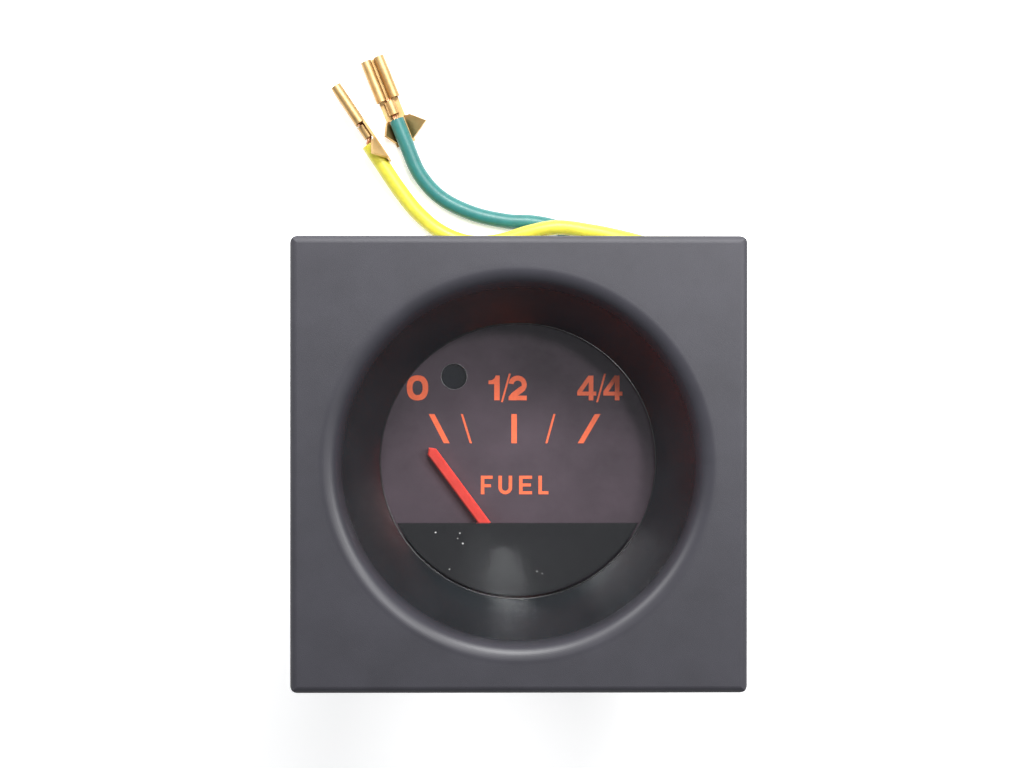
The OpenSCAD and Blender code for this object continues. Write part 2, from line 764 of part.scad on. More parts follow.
module can() color("#26262a") difference() {
    union() {
        difference() {
            union() {
                rod(can_r, -can_depth, 0);
                linear_extrude(flange_wall) {
                    circle(flange_r);
                    ear_shape();
                }
            }
            rod(can_in_r, back_inner, flange_wall + past);
        }
        both_sides(stud_pitch / 2)
            rod(stud_boss_r, back_inner - back_wall / 2, back_inner + stud_boss_height);
        for (turn = [0 : 3])
            rotate(90 * turn + 45)
                translate([can_in_r - post_reach, -post_w / 2, back_inner - back_wall / 2])
                    cube([post_reach + can_wall / 2, post_w,
                        box_bottom - back_inner + back_wall / 2]);
    }
    four_corners(screw_place) {
        rod(bezel_screw_r + pin_gap, -past, flange_wall + past);
        translate([0, 0, -pin_gap])
            cylinder(r1 = bezel_screw_head_r + pin_gap, r2 = bezel_screw_r + pin_gap,
                h = bezel_screw_head_r - bezel_screw_r + pin_gap);
    }
    both_sides(lamp_x, lamp_y) bayonet_hole(-can_depth - past, back_inner + past);
    both_sides(stud_pitch / 2)
        rod(stud_root_r + pin_gap, -can_depth - past, -can_depth + stud_root_depth);
    translate([0, grommet_y, 0]) rod(grommet_r + pin_gap, -can_depth - past, back_inner + past);
    tab_slots(-can_depth - past, back_inner + past);
    both_sides(tab_pitch / 2, -block_drop)
        rod(rivet_r + pin_gap, -can_depth - past, back_inner + past);
    board_screw_places() rod(small_screw_r + pin_gap, -can_depth - past, back_inner + past);
}

// Rear fittings

module mounting_studs() color("#c4c7cb") both_sides(stud_pitch / 2) {
    rod(stud_root_r, -can_depth, -can_depth + stud_root_depth);
    translate([0, 0, -can_depth - stud_hex_height])
        cylinder(r = stud_flats / sqrt(3), h = stud_hex_height, $fn = 6);
    rod(stud_r, rear_end, -can_depth - stud_hex_height);
}

module tab_places() {
    for (i = [-1 : 1]) translate([i * tab_pitch, -block_drop, 0]) children();
}

module tab_slots(low, high) {
    tab_places() translate([0, 0, (low + high) / 2])
        cube([tab_wall + 2 * pin_gap, tab_w + 2 * pin_gap, high - low], center = true);
}

module terminal_block() color("#5a3d28") difference() {
    union() {
        translate([0, -block_drop, -can_depth - block_wall])
            linear_extrude(block_wall) {
                square([block_w - block_h / 2, block_h], center = true);
                square([block_w, block_h / 2], center = true);
                both_sides(block_w / 2 - block_h / 4)
                    for (side = [-1, 1]) translate([0, side * block_h / 4]) circle(block_h / 4);
            }
        tab_places()
            translate([0, 0, -can_depth - (block_wall + collar_height) / 2])
                cube([tab_wall + 2 * collar_wall, tab_w + 2 * collar_wall,
                    block_wall + collar_height], center = true);
    }
    tab_slots(-can_depth - block_wall - collar_height - past, -can_depth + past);
    both_sides(tab_pitch / 2, -block_drop)
        rod(rivet_r + pin_gap, -can_depth - block_wall - past, -can_depth + past);
}

module block_rivets() color("#b9bcc0") both_sides(tab_pitch / 2, -block_drop) {
    rod(rivet_r, -can_depth - block_wall, back_inner);
    rod(rivet_head_r, -can_depth - block_wall - rivet_head_h, -can_depth - block_wall);
    rod(rivet_head_r, back_inner, back_inner + rivet_head_h);
}

// A blade with a chamfered end and a detent hole outside, and a bent foot inside the can
module tab(i) {
    chamfer = tab_w / 6;
    half = tab_w / 2;
    top = back_inner + tab_wall;
    hole_z = rear_end + tab_w / 2;
    translate([i * tab_pitch, -block_drop, 0]) {
        difference() {
            rotate([90, 0, 90])
                linear_extrude(tab_wall, center = true)
                    polygon([
                        [-half + chamfer, rear_end], [half - chamfer, rear_end],
                        [half, rear_end + chamfer], [half, top],
                        [-half, top], [-half, rear_end + chamfer]
                    ]);
            translate([0, 0, hole_z])
                rotate([0, 90, 0])
                    cylinder(r = tab_hole_r, h = tab_wall + 2 * past, center = true);
        }
        translate([-tab_wall / 2 - tab_foot, -half / 2, back_inner])
            cube([tab_foot + tab_wall / 2, half, tab_wall]);
    }
}

module supply_tab() color("#c8a45a") tab(-1);

module sender_tab() color("#c8a45a") tab(0);

module warning_tab() color("#c8a45a") tab(1);

module ballast_resistor() color("#9a8f7a") {
    resistor_z = back_inner + resistor_lift;
    foot_x = [-tab_pitch - tab_wall / 2 - tab_foot / 2, -tab_wall / 2 - tab_foot / 2];
    middle = (foot_x[0] + foot_x[1]) / 2;
    translate([middle, -block_drop, resistor_z])
        rotate([0, 90, 0]) {
            cylinder(r = resistor_r, h = resistor_length, center = true);
            cylinder(r = resistor_lead_r, h = tab_pitch, center = true);
        }
    for (x = foot_x)
        translate([x, -block_drop, 0]) {
            rod(resistor_lead_r, back_inner + tab_wall, resistor_z);
            translate([0, 0, resistor_z]) sphere(resistor_lead_r);
        }
}

module board_screw_places() {
    both_sides(board_screw_x, board_screw_y) children();
    translate([0, board_mid_screw_y, 0]) children();
}

module circuit_board() color("#8a5a2b") difference() {
    rod(board_r, board_back, -can_depth);
    translate([-board_r - past, board_edge_y - 2 * board_r, board_back - past])
        cube([2 * (board_r + past), 2 * board_r, board_wall + 2 * past]);
    both_sides(stud_pitch / 2)
        rod(stud_flats / sqrt(3) + board_gap, board_back - past, -can_depth + past);
    both_sides(lamp_x, lamp_y) bayonet_hole(board_back - past, -can_depth + past);
    translate([0, grommet_y, 0]) rod(grommet_r + pin_gap, board_back - past, -can_depth + past);
    board_screw_places() rod(small_screw_r + pin_gap, board_back - past, -can_depth + past);
}

module board_screws() color("#b9bcc0") board_screw_places() {
    rod(board_screw_head_r, board_back - screw_head_h, board_back);
    rod(small_screw_r, board_back, back_inner);
}

grommet_end = board_back - grommet_nose;

module grommet() color("#1c1c1e") translate([0, grommet_y, 0]) {
    rod(grommet_r, board_back, back_inner);
    rod(grommet_r + grommet_rim, back_inner, back_inner + grommet_wall);
    rod(grommet_r + grommet_rim, grommet_end, board_back);
}

// Lamp holders: each goes in through its keyhole and is locked by a part turn

holder_flange_top = board_back - contact_gap - contact_wall;
holder_flange_bottom = holder_flange_top - holder_flange_wall;
lug_bottom = back_inner + holder_gap / 2;
holder_top = lug_bottom + lug_wall + holder_nose;
socket_bottom = holder_top - bulb_seat;

module holder(side) color("#e9e6dc") translate([side * lamp_x, lamp_y, 0]) difference() {
    union() {
        rod(holder_r, holder_flange_bottom, holder_top);
        translate([0, 0, lug_bottom + lug_wall / 2])
            cube([2 * lug_r, lug_w, lug_wall], center = true);
        rod(holder_flange_r, holder_flange_bottom, holder_flange_top);
        rod(grip_r, rear_end, holder_flange_bottom);
        translate([-wing_w / 2, -wing_wall / 2, rear_end + wing_wall])
            cube([wing_w, wing_wall, holder_flange_bottom - rear_end - wing_wall]);
    }
    rod(bulb_r + bulb_gap, socket_bottom, holder_top + past);
}

module contacts(side) color("#c8a45a") translate([side * lamp_x, lamp_y, holder_flange_top])
    for (end = [-1, 1])
        translate([-contact_w / 2, end > 0 ? holder_r + holder_gap : -holder_flange_r, 0])
            cube([contact_w, holder_flange_r - holder_r - holder_gap, contact_wall]);

module bulb(side) color("#e8eef0", 0.5) translate([side * lamp_x, lamp_y, socket_bottom]) {
    rod(bulb_r, 0, bulb_length - bulb_r);
    translate([0, 0, bulb_length - bulb_r])
        rotate_extrude()
            intersection() {
                circle(bulb_r);
                square(bulb_r);
            }
}

module warning_holder() holder(-1);

module warning_contacts() contacts(-1);

module warning_bulb() bulb(-1);

module dial_lamp_holder() holder(1);

module dial_lamp_contacts() contacts(1);

module dial_lamp_bulb() bulb(1);

// Leads

// Each route is [x, y, height above lying flat]. Yellow passes over green in a long low hump.
yellow_route = [
    [2.4, 20.2, 3.2], [5, 21.2, 0.7], [9.4, 21.4, 0], [14.4, 19.2, 0], [19.4, 16.6, 0],
    [24.8, 15.8, 0], [29.4, 18.2, 0], [31.4, 23, 0], [30, 28, 0.2], [25.6, 31.4, 0.9],
    [20.4, 32.8, 1.8], [16.2, 33.8, 2.4], [12, 34.6, 2.5], [7, 35.2, 2.5], [2.4, 34.4, 2.3],
    [-2.6, 33, 1.4], [-7.6, 33, 0.4], [-12, 34.8, 0], [-15.6, 37.8, 0.2], [-18.5, 41.4, 0.9]
];
green_route = [
    [-1.2, 20.8, 3.2], [0.8, 23.2, 0.7], [4.4, 24.8, 0], [9.4, 24.6, 0], [14.2, 22.6, 0],
    [19, 20.6, 0], [23.8, 20.6, 0], [26.8, 24, 0], [25.6, 28, 0], [21.4, 29.8, 0],
    [16.2, 31.2, 0], [11.4, 33.4, 0], [6.8, 35.4, 0], [2.8, 36.2, 0], [-1.2, 36.4, 0],
    [-6.6, 37.6, 0], [-11.7, 40.1, 0], [-15.2, 43.9, 0.2]
];
// Where each receptacle begins, and the angle of its length from +X
yellow_end = [-21, 45.1];
yellow_end_angle = 123.7;
green_end = [-17.4, 48.9];
green_end_angle = 112;
// Length of the straight stretch below the grommet, and of the part inside a receptacle
lead_drop = 3.5;
lead_grip = 4;
lying_z = rear_end + lead_r;

function whole_route(side, route, end, angle, end_z) = concat(
    [[side * lead_pitch / 2, grommet_y, grommet_end]],
    [[side * lead_pitch / 2, grommet_y, grommet_end - lead_drop]],
    [for (p = route) [p[0], p[1], lying_z + p[2]]],
    [[end[0], end[1], end_z]],
    [[end[0] + lead_grip * cos(angle), end[1] + lead_grip * sin(angle), end_z]]
);

lead_sides = 8;
lead_steps = 2;

function unit(v) = v / norm(v);

function between(a, b, c, d, t) =
    0.5 * (2 * b + (c - a) * t + (2 * a - 5 * b + 4 * c - d) * t * t
        + (3 * b - a - 3 * c + d) * t * t * t);

function above_surface(p) = [p[0], p[1], max(p[2], lying_z)];

function smooth_route(p) = [
    for (i = [0 : len(p) - 2], s = [0 : lead_steps - 1])
        above_surface(between(p[max(i - 1, 0)], p[i], p[i + 1], p[min(i + 2, len(p) - 1)],
            s / lead_steps)),
    p[len(p) - 1]
];

function direction(p, i) = unit(p[min(i + 1, len(p) - 1)] - p[max(i - 1, 0)]);

// Side vectors carried along the route without twisting
function carried(v, along) = unit(v - (v * along) * along);
function side_vectors(p, i = 0, v = [1, 0, 0]) =
    i == len(p) ? [] :
        let (here = carried(v, direction(p, i))) concat([here], side_vectors(p, i + 1, here));

module lead(route) {
    p = smooth_route(route);
    across = side_vectors(p);
    rings = [
        for (i = [0 : len(p) - 1])
            let (up = cross(direction(p, i), across[i]))
                for (k = [0 : lead_sides - 1])
                    p[i] + lead_r * (cos(360 * k / lead_sides) * across[i]
                        + sin(360 * k / lead_sides) * up)
    ];
    sides = [
        for (i = [0 : len(p) - 2], k = [0 : lead_sides - 1])
            let (a = i * lead_sides + k, b = i * lead_sides + (k + 1) % lead_sides)
                each [[a, a + lead_sides, b], [b, a + lead_sides, b + lead_sides]]
    ];
    last = (len(p) - 1) * lead_sides;
    ends = [
        for (k = [1 : lead_sides - 2])
            each [[0, k, k + 1], [last, last + k + 1, last + k]]
    ];
    polyhedron(points = rings, faces = concat(sides, ends));
}

// The yellow receptacle lies on its side and the green one on its base
side_reach = lead_r + sheet_wall / 2 + upright_wing * cos(upright_angle);
yellow_lead_z = rear_end + max(receptacle_w / 2, side_reach);
green_lead_z = rear_end + sheet_wall + lead_r;

module yellow_lead() color("#e8d63a")
    lead(whole_route(1, yellow_route, yellow_end, yellow_end_angle, yellow_lead_z));

module green_lead() color("#3fa892")
    lead(whole_route(-1, green_route, green_end, green_end_angle, green_lead_z));

// The wing's root starts inside the base, so that the two join
module crimp_wing(reach, angle) {
    root = sheet_wall / 4;
    translate([0, lead_r + sheet_wall / 2, 0])
        rotate([angle, 0, 0])
            linear_extrude(sheet_wall)
                polygon([
                    [wing_length + sheet_wall / 2, root], [wing_length, reach / 3],
                    [wing_length / 2, reach], [sheet_wall, root]
                ]);
}

// A blade receptacle lies along +X from where the lead goes in, with its base on z = 0
module receptacle() {
    half = receptacle_w / 2 - curl_r;
    box_x = receptacle_length - curl_length;
    cube_on_axis(box_x + sheet_wall, 2 * (lead_r + sheet_wall));
    translate([box_x, 0, 0]) cube_on_axis(curl_length, 2 * half);
    for (side = [-1, 1])
        translate([box_x, side * half, curl_r])
            rotate([0, 90, 0]) tube(curl_r, curl_r - sheet_wall, 0, curl_length);
    translate([wing_length + 2 * sheet_wall, 0, curl_r])
        rotate([0, 90, 0]) tube(curl_r, curl_r - sheet_wall, 0, crimp_length);
    mirror([0, 1, 0]) crimp_wing(splayed_wing, splay_angle);
    crimp_wing(upright_wing, upright_angle);
}

module cube_on_axis(length, width)
    translate([0, -width / 2, 0]) cube([length, width, sheet_wall]);

module yellow_receptacle() color("#c8a45a")
    translate([yellow_end[0], yellow_end[1], yellow_lead_z])
        rotate(yellow_end_angle)
            translate([0, -lead_r - sheet_wall, 0]) rotate([-90, 0, 0]) receptacle();

module green_receptacle() color("#c8a45a")
    translate([green_end[0], green_end[1], rear_end])
        rotate(green_end_angle) receptacle();

bezel();
lens();
lens_gasket();
spacer_ring();
pivot_mask();
dial_plate();
warning_window();
dial_screws();
pointer_stops();
light_box();
front_bridge();
rear_bridge();
bridge_pillars();
pillar_screws();
former_front();
former_rear();
inner_winding();
outer_winding();
front_jewel();
rear_jewel();
can();
bezel_screws();
mounting_studs();
terminal_block();
block_rivets();
supply_tab();
sender_tab();
warning_tab();
ballast_resistor();
circuit_board();
board_screws();
grommet();
yellow_lead();
green_lead();
yellow_receptacle();
green_receptacle();
pointer();
pointer_hub();
balance_weight();
spindle();
magnet_rotor();
warning_holder();
warning_contacts();
warning_bulb();
dial_lamp_holder();
dial_lamp_contacts();
dial_lamp_bulb();
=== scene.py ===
"""Dashboard fuel gauge with a square black bezel, lying on its back with its two flying leads.

The face looks along +Z and the dial's top is +Y. Lengths are in metres, in the part's own frame.
"""

import math

import bmesh
import bpy
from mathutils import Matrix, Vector
from mathutils.geometry import tessellate_polygon


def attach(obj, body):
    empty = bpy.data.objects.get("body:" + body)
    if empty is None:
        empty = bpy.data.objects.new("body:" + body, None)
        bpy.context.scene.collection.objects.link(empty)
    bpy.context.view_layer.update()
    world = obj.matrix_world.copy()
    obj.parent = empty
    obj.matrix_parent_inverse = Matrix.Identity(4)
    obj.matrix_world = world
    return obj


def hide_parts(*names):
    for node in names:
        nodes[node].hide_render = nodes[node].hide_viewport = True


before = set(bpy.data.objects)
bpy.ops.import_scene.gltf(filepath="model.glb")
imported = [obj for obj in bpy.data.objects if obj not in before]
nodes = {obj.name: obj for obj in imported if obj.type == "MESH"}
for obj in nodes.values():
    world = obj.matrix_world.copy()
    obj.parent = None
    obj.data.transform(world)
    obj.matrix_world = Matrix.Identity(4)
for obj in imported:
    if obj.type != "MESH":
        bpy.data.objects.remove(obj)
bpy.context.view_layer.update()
MM = 0.001

# Camera: a long lens straight above the face. The picture's frame is 1024 by 768, and the
# bezel's middle lies below the frame's middle, so the camera is turned a little to reach it.
FRAME_W = 1024
FRAME_H = 768
FOCAL_PIXELS = 1900
SENSOR_MM = 36
EYE = Vector((-3.5, 12.3, 257.3)) * MM
FACE_MIDDLE = Vector((0, 0, 9)) * MM
FACE_MIDDLE_PIXEL = (519, 464.8)

ray = Vector((
    (FACE_MIDDLE_PIXEL[0] - FRAME_W / 2) / FOCAL_PIXELS,
    -(FACE_MIDDLE_PIXEL[1] - FRAME_H / 2) / FOCAL_PIXELS,
    -1,
))
lens_data = bpy.data.cameras.new("camera")
lens_data.sensor_fit = "HORIZONTAL"
lens_data.sensor_width = SENSOR_MM
lens_data.lens = FOCAL_PIXELS / FRAME_W * SENSOR_MM
lens_data.clip_start = 0.01
camera = bpy.data.objects.new("camera", lens_data)
bpy.context.scene.collection.objects.link(camera)
camera.rotation_mode = "QUATERNION"
camera.rotation_quaternion = ray.rotation_difference(FACE_MIDDLE - EYE)
camera.location = EYE
bpy.context.scene.camera = camera
bpy.context.scene.view_settings.view_transform = "Standard"

# Leads: two wires of stranded copper in a soft vinyl sheath, 2.4 mm thick. They leave the rubber
# grommet in the can's back and lie on the table beyond the dial's top, yellow over green.
LEAD_R = 1.2 * MM
TABLE_Z = -50 * MM
LYING_Z = TABLE_Z + LEAD_R
GROMMET_END = (19.8, -38.9)
LEAD_X = 1.6
LEAD_DROP = 3.5
LEAD_GRIP = 4
YELLOW_ROUTE = [
    (2.4, 20.2, 3.2), (5, 21.2, 0.7), (9.4, 21.4, 0), (14.4, 19.2, 0), (19.4, 16.6, 0),
    (24.8, 15.8, 0), (29.4, 18.2, 0), (31.4, 23, 0), (30, 28, 0.2), (25.6, 31.4, 0.9),
    (20.4, 32.8, 1.8), (16.2, 33.8, 2.4), (12, 34.6, 2.5), (7, 35.2, 2.5), (2.4, 34.4, 2.3),
    (-2.6, 33, 1.4), (-7.6, 33, 0.4), (-12, 34.8, 0), (-15.6, 37.8, 0.2), (-18.5, 41.4, 0.9),
]
GREEN_ROUTE = [
    (-1.2, 20.8, 3.2), (0.8, 23.2, 0.7), (4.4, 24.8, 0), (9.4, 24.6, 0), (14.2, 22.6, 0),
    (19, 20.6, 0), (23.8, 20.6, 0), (26.8, 24, 0), (25.6, 28, 0), (21.4, 29.8, 0),
    (16.2, 31.2, 0), (11.4, 33.4, 0), (6.8, 35.4, 0), (2.8, 36.2, 0), (-1.2, 36.4, 0),
    (-6.6, 37.6, 0), (-11.7, 40.1, 0), (-15.2, 43.9, 0.2),
]
YELLOW_END = (-21, 45.1, -47.2, 123.7)
GREEN_END = (-17.4, 48.9, -48.4, 112)


def whole_route(side, route, end):
    """Every point of a lead from the grommet into its receptacle, in metres."""
    x, y, z, angle = end
    grip_x = x + LEAD_GRIP * math.cos(math.radians(angle))
    grip_y = y + LEAD_GRIP * math.sin(math.radians(angle))
    points = [
        (side * LEAD_X, GROMMET_END[0], GROMMET_END[1]),
        (side * LEAD_X, GROMMET_END[0], GROMMET_END[1] - LEAD_DROP),
    ]
    points += [(px, py, LYING_Z / MM + lift) for px, py, lift in route]
    points += [(x, y, z), (grip_x, grip_y, z)]
    return [Vector(p) * MM for p in points]


def smooth_route(points, steps):
    """The points with a smooth curve through them, never below the table."""
    last = len(points) - 1
    out = []
    for i in range(last):
        a, b = points[max(i - 1, 0)], points[i]
        c, d = points[i + 1], points[min(i + 2, last)]
        for s in range(steps):
            t = s / steps
            p = 0.5 * (2 * b + (c - a) * t + (2 * a - 5 * b + 4 * c - d) * t * t
                       + (3 * b - a - 3 * c + d) * t * t * t)
            p.z = max(p.z, LYING_Z)
            out.append(p)
    return out + [points[last]]


def link(data, name):
    """A new object that holds this data, in the scene."""
    thing = bpy.data.objects.new(name, data)
    bpy.context.scene.collection.objects.link(thing)
    return thing


def lead_tube(name, line):
    """A round tube along a line."""
    curve = bpy.data.curves.new(name, "CURVE")
    curve.dimensions = "3D"
    spline = curve.splines.new("POLY")
    spline.points.add(len(line) - 1)
    for point, place in zip(spline.points, line):
        point.co = (*place, 1)
    curve.bevel_depth = LEAD_R
    curve.bevel_resolution = 6
    curve.use_fill_caps = True
    return link(curve, name)


def new_surface(name, colour, roughness, **sockets):
    """A material with one shader. The names of further sockets use _ for a space."""
    made = bpy.data.materials.new(name)
    made.use_nodes = True
    shader = made.node_tree.nodes["Principled BSDF"]
    shader.inputs["Base Color"].default_value = (*colour, 1)
    shader.inputs["Roughness"].default_value = roughness
    for socket, value in sockets.items():
        shader.inputs[socket.replace("_", " ")].default_value = value
    return made


def part_place(made, stretch=(1, 1, 1)):
    """Positions on the part itself, in metres, stretched for streaks."""
    tree = made.node_tree
    place = tree.nodes.new("ShaderNodeTexCoord")
    mapping = tree.nodes.new("ShaderNodeMapping")
    mapping.inputs["Scale"].default_value = stretch
    tree.links.new(place.outputs["Object"], mapping.inputs["Vector"])
    return mapping.outputs["Vector"]


def noise(made, size, detail=3, stretch=(1, 1, 1)):
    """Cloudy noise whose blobs are about size metres across."""
    tree = made.node_tree
    cloud = tree.nodes.new("ShaderNodeTexNoise")
    cloud.inputs["Scale"].default_value = 1 / size
    cloud.inputs["Detail"].default_value = detail
    tree.links.new(part_place(made, stretch), cloud.inputs["Vector"])
    return cloud.outputs["Fac"]


def between(made, factor, low, high, start=0.3, end=0.7):
    """A colour that goes from low to high as factor goes from start to end."""
    tree = made.node_tree
    ramp = tree.nodes.new("ShaderNodeValToRGB")
    ramp.color_ramp.elements[0].position = start
    ramp.color_ramp.elements[0].color = (*low, 1)
    ramp.color_ramp.elements[1].position = end
    ramp.color_ramp.elements[1].color = (*high, 1)
    tree.links.new(factor, ramp.inputs["Fac"])
    return ramp.outputs["Color"]


def amount(made, factor, low, high, start=0.3, end=0.7):
    """A number that goes from low to high as factor goes from start to end."""
    tree = made.node_tree
    span = tree.nodes.new("ShaderNodeMapRange")
    span.inputs["From Min"].default_value = start
    span.inputs["From Max"].default_value = end
    span.inputs["To Min"].default_value = low
    span.inputs["To Max"].default_value = high
    tree.links.new(factor, span.inputs["Value"])
    return span.outputs["Result"]


def feed(made, socket, output):
    """Joins an output to a socket of the material's shader."""
    shader = made.node_tree.nodes["Principled BSDF"]
    made.node_tree.links.new(output, shader.inputs[socket])


def raised(made, *heights):
    """Bumps, each a pair of a height pattern and its height in metres."""
    tree = made.node_tree
    normal = None
    for pattern, height in heights:
        bump = tree.nodes.new("ShaderNodeBump")
        bump.inputs["Distance"].default_value = height
        tree.links.new(pattern, bump.inputs["Height"])
        if normal is not None:
            tree.links.new(normal, bump.inputs["Normal"])
        normal = bump.outputs["Normal"]
    feed(made, "Normal", normal)


def shade(colour, factor):
    """The colour made darker or lighter."""
    return tuple(channel * factor for channel in colour)


def vinyl(name, colour):
    """Soft vinyl sheath: slightly shiny, with handling marks and a faint drawn grain."""
    made = new_surface(name, colour, 0.42, Subsurface_Weight=0.12, Subsurface_Scale=0.0012,
                       Coat_Weight=0.15, Coat_Roughness=0.3)
    cloud = noise(made, 1.6 * MM)
    feed(made, "Base Color", between(made, cloud, shade(colour, 0.88), shade(colour, 1.06)))
    feed(made, "Roughness", amount(made, noise(made, 0.5 * MM), 0.36, 0.5))
    raised(made, (noise(made, 0.25 * MM), 0.015 * MM), (cloud, 0.02 * MM))
    return made


ROUTE_STEPS = 8
yellow_line = smooth_route(whole_route(1, YELLOW_ROUTE, YELLOW_END), ROUTE_STEPS)
green_line = smooth_route(whole_route(-1, GREEN_ROUTE, GREEN_END), ROUTE_STEPS)
yellow_lead = lead_tube("yellow_sheath", yellow_line)
green_lead = lead_tube("green_sheath", green_line)
yellow_lead.data.materials.append(vinyl("yellow_vinyl", (0.63, 0.58, 0.052)))
green_lead.data.materials.append(vinyl("green_vinyl", (0.024, 0.168, 0.156)))
for sheath, line, node, receptacle in (
    (yellow_lead, yellow_line, "yellow_lead", "yellow_receptacle"),
    (green_lead, green_line, "green_lead", "green_receptacle"),
):
    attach(sheath, "gauge")
    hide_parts(node)

# Receptacles: stamped from thin sheet brass, with two rolled edges, a crimp on the bare wire and
# two open wings beside the sheath. One lies on its base and the other on its side. The blade tabs
# and the lamps' contact strips are stamped from the same brass.


def paint(node, made):
    """Gives a solid of the part this finish all over."""
    nodes[node].data.materials.clear()
    nodes[node].data.materials.append(made)


def brass(name, colour, stain):
    """Rolled brass: fine rolling marks and cloudy tarnish."""
    made = new_surface(name, colour, 0.3, Metallic=1.0)
    cloud = noise(made, 1.6 * MM, 6)
    streaks = noise(made, 0.12 * MM, 3, (1, 1, 0.12))
    feed(made, "Base Color", between(made, cloud, stain, colour, 0.28, 0.7))
    feed(made, "Roughness", amount(made, streaks, 0.56, 0.42))
    raised(made, (streaks, 0.003 * MM))
    return made


tab_brass = brass("stamped_brass", (0.6, 0.41, 0.19), (0.48, 0.3, 0.12))
for node in ("yellow_receptacle", "green_receptacle", "supply_tab", "sender_tab", "warning_tab",
             "warning_contacts", "dial_lamp_contacts"):
    paint(node, tab_brass)

# Bare strands: seven drawn copper wires of each lead, twisted together. They come out of the cut
# sheath, run down into the crimp and show a little past it.
UP = Vector((0, 0, 1))
STRANDS = 7
STRAND_R = 0.14 * MM
STRAND_SIDES = 10
STRAND_RING = 0.285 * MM
STRAND_TWIST = 0.35
SHEATH_MIDDLE = 1.6
STRAND_LAY = [
    (3.7, 1.6), (4.3, 1.5), (4.8, 1.0), (5.2, 0.85), (6.2, 0.85), (7.3, 0.85), (7.7, 0.92),
]

bare_copper = new_surface("bare_copper", (0.62, 0.3, 0.16), 0.34, Metallic=1.0)
feed(bare_copper, "Base Color", between(bare_copper, noise(bare_copper, 0.5 * MM, 4),
                                        (0.5, 0.22, 0.11), (0.7, 0.38, 0.22)))


def skinned(mesh, rings):
    """Walls from each closed ring of points to the next, and a cap at both ends."""
    mesh.faces.new(rings[0])
    mesh.faces.new(rings[-1])
    walls = []
    for here, after in zip(rings, rings[1:]):
        for k in range(len(here)):
            j = (k + 1) % len(here)
            walls.append(mesh.faces.new((here[k], here[j], after[j], after[k])))
    return walls


def round_wire(mesh, line, radius, sides):
    """A closed round wire along a line, without twist."""
    rings = []
    for i, point in enumerate(line):
        ahead = line[min(i + 1, len(line) - 1)] - line[max(i - 1, 0)]
        out = ahead.cross(UP).normalized()
        up = out.cross(ahead).normalized()
        rings.append([mesh.verts.new(point + radius * (
            out * math.cos(2 * math.pi * k / sides) + up * math.sin(2 * math.pi * k / sides)))
            for k in range(sides)])
    for wall in skinned(mesh, rings):
        wall.smooth = True


def new_piece(mesh, name, made, body):
    """A piece made from a mesh, in this finish, that rides on this body."""
    bmesh.ops.recalc_face_normals(mesh, faces=mesh.faces)
    data = bpy.data.meshes.new(name)
    mesh.to_mesh(data)
    mesh.free()
    data.materials.append(made)
    piece = link(data, name)
    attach(piece, body)
    return piece


for word, end, on_side in (("yellow", YELLOW_END, True), ("green", GREEN_END, False)):
    *start, angle = end
    along = Vector((math.cos(math.radians(angle)), math.sin(math.radians(angle)), 0))
    across = Vector((-along.y, along.x, 0))
    rise, level = (across, UP) if on_side else (UP, across)
    strand_mesh = bmesh.new()
    for k in range(STRANDS):
        turn = math.radians(360 / (STRANDS - 1) * k)
        ring = STRAND_RING if k else 0
        line = []
        for x, height in STRAND_LAY:
            lay_turn = turn + STRAND_TWIST * x
            line.append(Vector(start) * MM + along * x * MM
                        + rise * ((height - SHEATH_MIDDLE) * MM + ring * math.sin(lay_turn))
                        + level * ring * math.cos(lay_turn))
        round_wire(strand_mesh, line, STRAND_R, STRAND_SIDES)
    new_piece(strand_mesh, f"{word}_strands", bare_copper, "gauge")

# Bezel: one moulding in black plastic. Its face has a fine matte grain, and the recess that runs
# down to the lens is smooth and satin, so it mirrors the dial's print faintly.
FACE_BLACK = (0.03, 0.029, 0.037)
RECESS_BLACK = (0.011, 0.013, 0.015)
RECESS_ROUGH = 0.24
RIM_ROUGH = 0.42
FACE_ROUGH = 0.54
RIM_R = 23.2 * MM
RIM_FADE = 0.8 * MM
FACE_R = 25.3 * MM
FACE_FADE = 1.2 * MM
GRAIN = 0.09 * MM
GRAIN_RISE = 0.03 * MM
WARP = 9 * MM
WARP_RISE = 0.03 * MM


def radius_from_axis(made):
    """Distance from the gauge's axis, as a number in metres."""
    tree = made.node_tree
    flat = tree.nodes.new("ShaderNodeVectorMath")
    flat.operation = "MULTIPLY"
    flat.inputs[1].default_value = (1, 1, 0)
    tree.links.new(part_place(made), flat.inputs[0])
    length = tree.nodes.new("ShaderNodeVectorMath")
    length.operation = "LENGTH"
    tree.links.new(flat.outputs["Vector"], length.inputs[0])
    return length.outputs["Value"]


def mixed(made, factor, low, high):
    """Two colours or two numbers, mixed by a number from 0 to 1."""
    factor_in, low_in, high_in, colour_out = 0, 6, 7, 2
    tree = made.node_tree
    mix = tree.nodes.new("ShaderNodeMix")
    mix.data_type = "RGBA"
    tree.links.new(factor, mix.inputs[factor_in])
    tree.links.new(low, mix.inputs[low_in])
    tree.links.new(high, mix.inputs[high_in])
    return mix.outputs[colour_out]


def product(made, a, b):
    """Two numbers multiplied."""
    tree = made.node_tree
    times = tree.nodes.new("ShaderNodeMath")
    times.operation = "MULTIPLY"
    tree.links.new(a, times.inputs[0])
    tree.links.new(b, times.inputs[1])
    return times.outputs["Value"]


